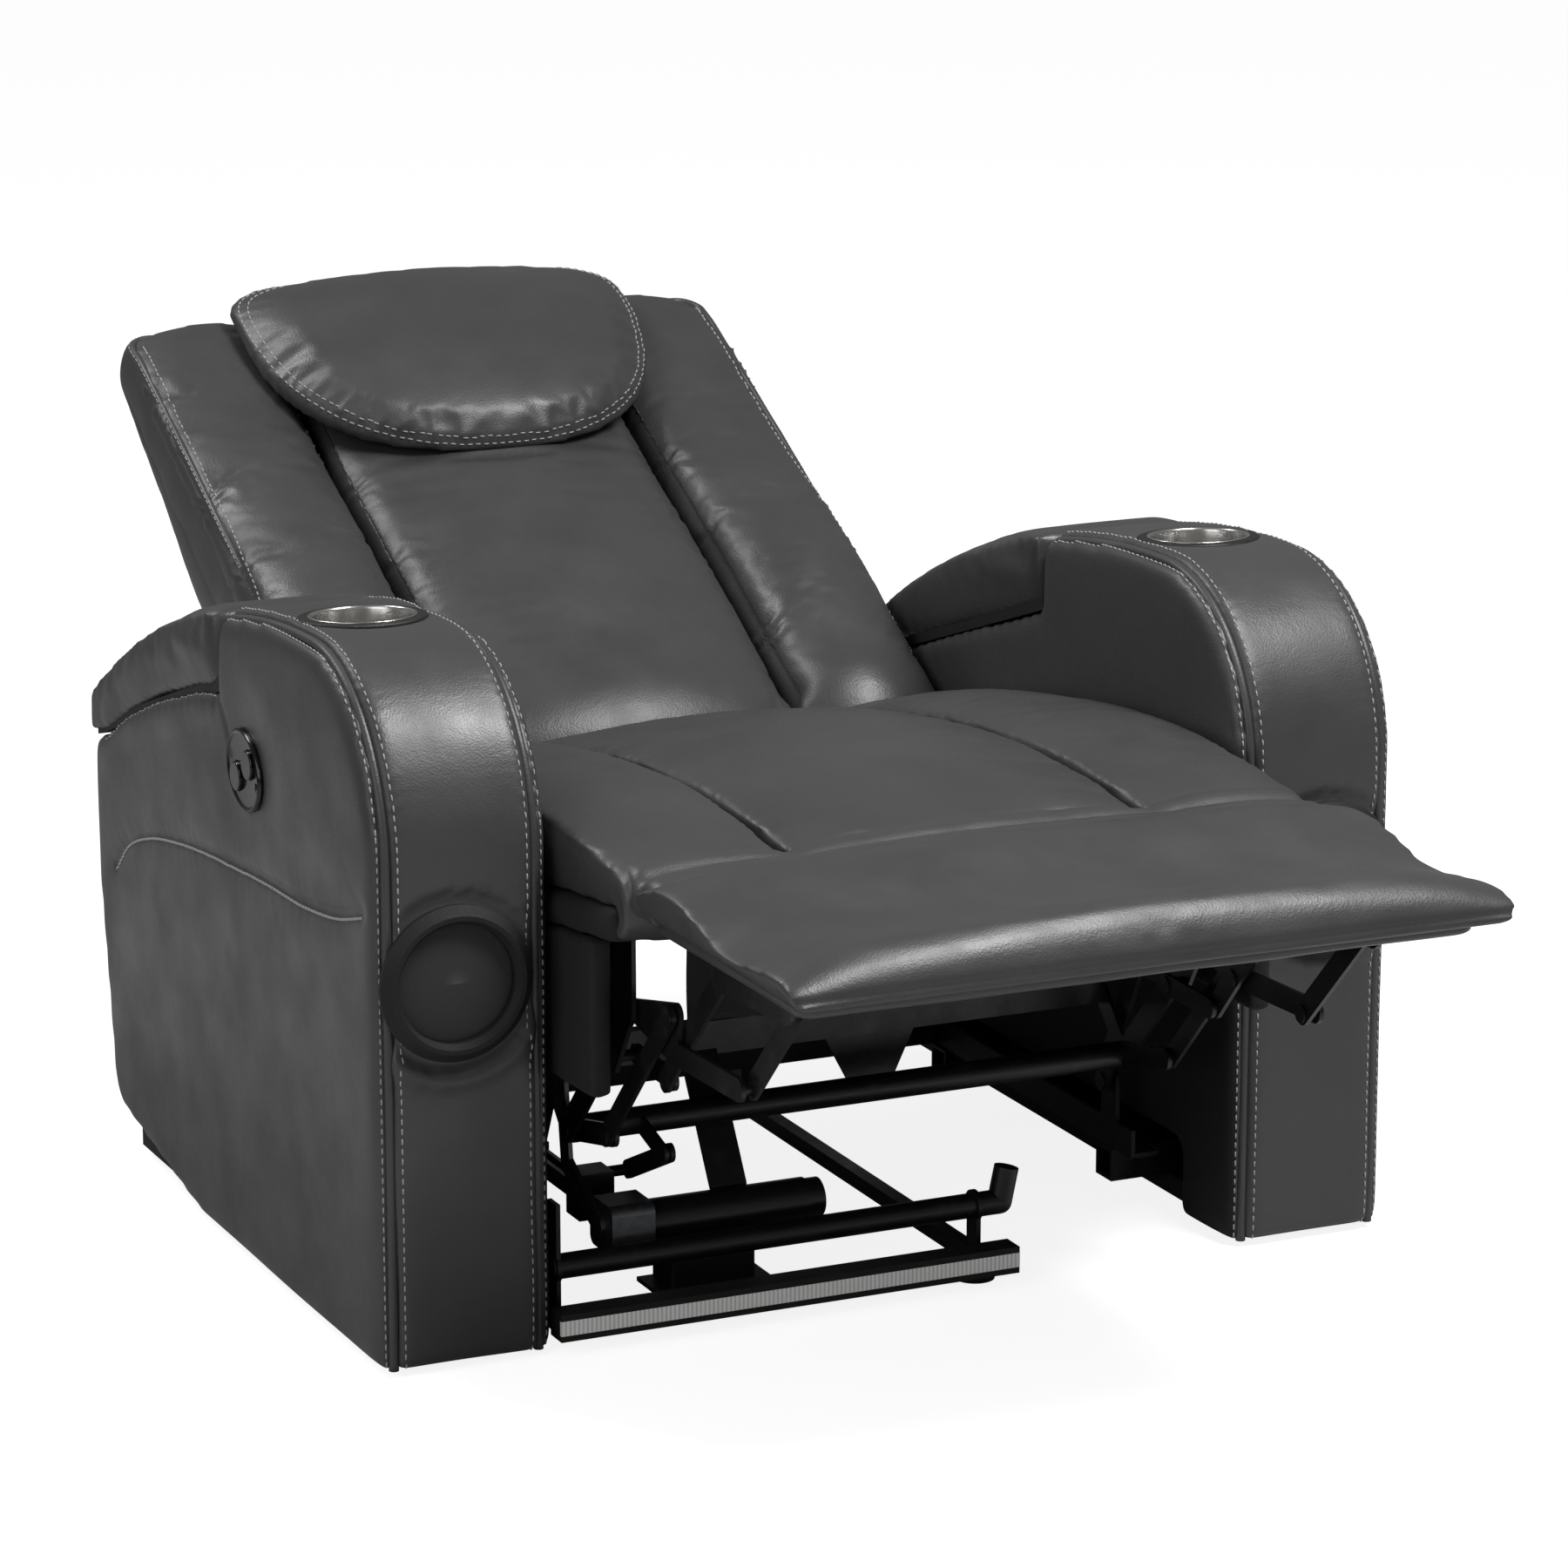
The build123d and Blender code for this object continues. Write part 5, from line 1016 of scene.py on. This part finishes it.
skin = add(tree, "ShaderNodeBump", {"Strength": 0.25, "Distance": 0.0004, "Height": peel.outputs["Fac"]})
paint = add(tree, "ShaderNodeBsdfPrincipled", {
    "Base Color": coat.outputs[2], "Roughness": shine.outputs["Result"], "IOR": 1.5,
    "Normal": skin.outputs["Normal"]})
add(tree, "ShaderNodeOutputMaterial", {"Surface": paint.outputs[0]})


def surface(name, dark, light, low, high, scale=300, depth=0.0003, metallic=0.0):
    """A finish with a fine texture: its colour and roughness drift between two values."""
    made, tree = new_material(name)
    where = add(tree, "ShaderNodeTexCoord").outputs["Object"]
    texture = add(tree, "ShaderNodeTexNoise", {"Vector": where, "Scale": scale, "Detail": 4})
    colour = add(tree, "ShaderNodeMix", {
        0: texture.outputs["Fac"], 6: from_hex(dark), 7: from_hex(light)}, data_type="RGBA")
    rough = add(tree, "ShaderNodeMapRange", {"Value": texture.outputs["Fac"], "To Min": low, "To Max": high})
    bump = add(tree, "ShaderNodeBump", {"Strength": 0.3, "Distance": depth, "Height": texture.outputs["Fac"]})
    body = add(tree, "ShaderNodeBsdfPrincipled", {
        "Base Color": colour.outputs[2], "Roughness": rough.outputs["Result"], "Metallic": metallic,
        "IOR": 1.5, "Normal": bump.outputs["Normal"]})
    add(tree, "ShaderNodeOutputMaterial", {"Surface": body.outputs[0]})
    return made


# Light lens: an extruded milky silicone strip over a row of small lamps, 4 mm apart, so that
# it shows as pale segments with darker joints between them. Its colours are partly painted light, paler than
# the strip itself, and it has a faint painted glow though its lamps are not lit: both brighten it in the
# shade where it sits.
LAMP_PITCH = 0.0040
lens, tree = new_material("milky_silicone_with_painted_glow")
where = add(tree, "ShaderNodeTexCoord").outputs["Object"]
lamps = add(tree, "ShaderNodeTexWave", {
    "Vector": where, "Scale": 2 * pi / (20 * LAMP_PITCH), "Distortion": 0.4, "Detail": 1},
    wave_type="BANDS", bands_direction="X")
joints = add(tree, "ShaderNodeMapRange", {"Value": lamps.outputs["Fac"], "From Min": 0.15, "From Max": 0.6})
milk = add(tree, "ShaderNodeMix", {
    0: joints.outputs["Result"], 6: from_hex("c8c8c6"), 7: from_hex("f4f4f2")}, data_type="RGBA")
# Painted glow: the faint emission lights the strip up though its lamps are not lit.
silicone = add(tree, "ShaderNodeBsdfPrincipled", {
    "Base Color": milk.outputs[2], "Roughness": 0.38, "IOR": 1.41, "Emission Color": from_hex("f4f4f2"),
    "Emission Strength": 0.06})
add(tree, "ShaderNodeOutputMaterial", {"Surface": silicone.outputs[0]})

# Moulded ABS with a spark-eroded texture, which takes a dull, even sheen.
matt_abs = surface("textured_black_abs", "0c0c0d", "141415", 0.45, 0.62)
# ABS with a rubbery soft-touch paint: almost no sheen, so the ring stays the darkest part.
soft_abs = surface("soft_touch_black_abs", "060606", "0a0a0b", 0.68, 0.82)
# ABS from a polished mould: sharp, small highlights.
gloss_abs = surface("polished_black_abs", "060607", "0c0c0d", 0.12, 0.2, scale=60, depth=0.0001)
# Stretched knitted cloth, dark grey, rough as seen through its holes of about 1 mm.
grille_cloth = surface("speaker_cloth", "1f1f20", "303031", 0.6, 0.75, scale=900, depth=0.0006)
# Die-cast zinc, tumbled: a grey metal with a blurred, uneven shine.
zinc = surface("cast_zinc", "56575a", "77797c", 0.35, 0.5, scale=180, metallic=0.9)
# Drawn steel can, painted black: smoother and a little shinier than the links.
motor_paint = surface("painted_motor_can", "131314", "1d1d1f", 0.3, 0.42)
# Plywood, rolled with black stain: dull, with a slow drift where the grain took it up.
stained_ply = surface("black_stained_plywood", "0c0b0b", "151413", 0.6, 0.75, scale=45)


# Control: an oval bezel of polished black ABS let into the outer side of the left arm, with
# a rolled rim and a round well for each of its two push buttons.
BUTTONS = ((290, 457), (320, 441))
BUTTON_WELL = 13.7
WELL_MIDDLE_X, WELL_DEPTH = -490, 30
SHARP = 35
# The bezel's half section: its share of the oval, and its place across, from the arm outwards.
PLATE_PROFILE = (
    (1.0, 479.0), (1.02, 482.6), (1.0, 484.4), (0.965, 485.3), (0.92, 485.0), (0.885, 483.9), (0.6, 483.5),
    (0.3, 483.4))
PLATE_AROUND = 96
vertices = []
lean = radians(CONTROL_LEAN)
for share, out_x in PLATE_PROFILE:
    for k in range(PLATE_AROUND):
        turn = 2 * pi * k / PLATE_AROUND
        u, v = share * CONTROL_HALVES[0] * cos(turn), share * CONTROL_HALVES[1] * sin(turn)
        vertices.append(at(-out_x, CONTROL[0] + u * cos(lean) - v * sin(lean),
                           CONTROL[1] + u * sin(lean) + v * cos(lean)))
plate = build("control_plate", vertices, [face[::-1] for face in tube(len(PLATE_PROFILE), PLATE_AROUND)])
drills = []
for number, (y, z) in enumerate(BUTTONS):
    bpy.ops.mesh.primitive_cylinder_add(
        vertices=48, radius=BUTTON_WELL / 1000, depth=WELL_DEPTH / 1000,
        location=at(WELL_MIDDLE_X, y, z), rotation=(0, pi / 2, 0))
    drill = bpy.context.object
    well = with_modifier(plate, "BOOLEAN", object=drill, operation="DIFFERENCE", solver="EXACT")
    well.name = f"well_{number}"
    drills.append(drill)
settle(plate)
for drill in drills:
    bpy.data.objects.remove(drill)
coat_smooth(plate, gloss_abs)
with_modifier(plate, "EDGE_SPLIT", split_angle=radians(SHARP))
settle(plate)
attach(plate, "base")
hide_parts("control_bezel")


# Hard pieces that the frame already has in their final shape, and the finish of each.
for nodes, finish in (
        ("base_cross_members base_rails floor_frame front_tube side_plates seat_cross_bar track "
         "front_links lower_links rear_links upper_links drive_bars torque_tube drive_slider drive_link "
         "swing_links_front swing_links_rear back_brackets footrest_brackets lid_hinges", steel),
        ("arm_frames lid_board_left lid_board_right", stained_ply),
        ("storage_bins cup_inserts light_housing power_box glides", matt_abs),
        ("speaker_rings", soft_abs),
        ("button_open button_close", gloss_abs),
        ("speaker_grilles", grille_cloth),
        ("light_lens", lens),
        ("gearbox", zinc),
        ("motor", motor_paint)):
    for name in nodes.split():
        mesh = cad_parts[name].data
        mesh.materials.clear()
        mesh.materials.append(finish)
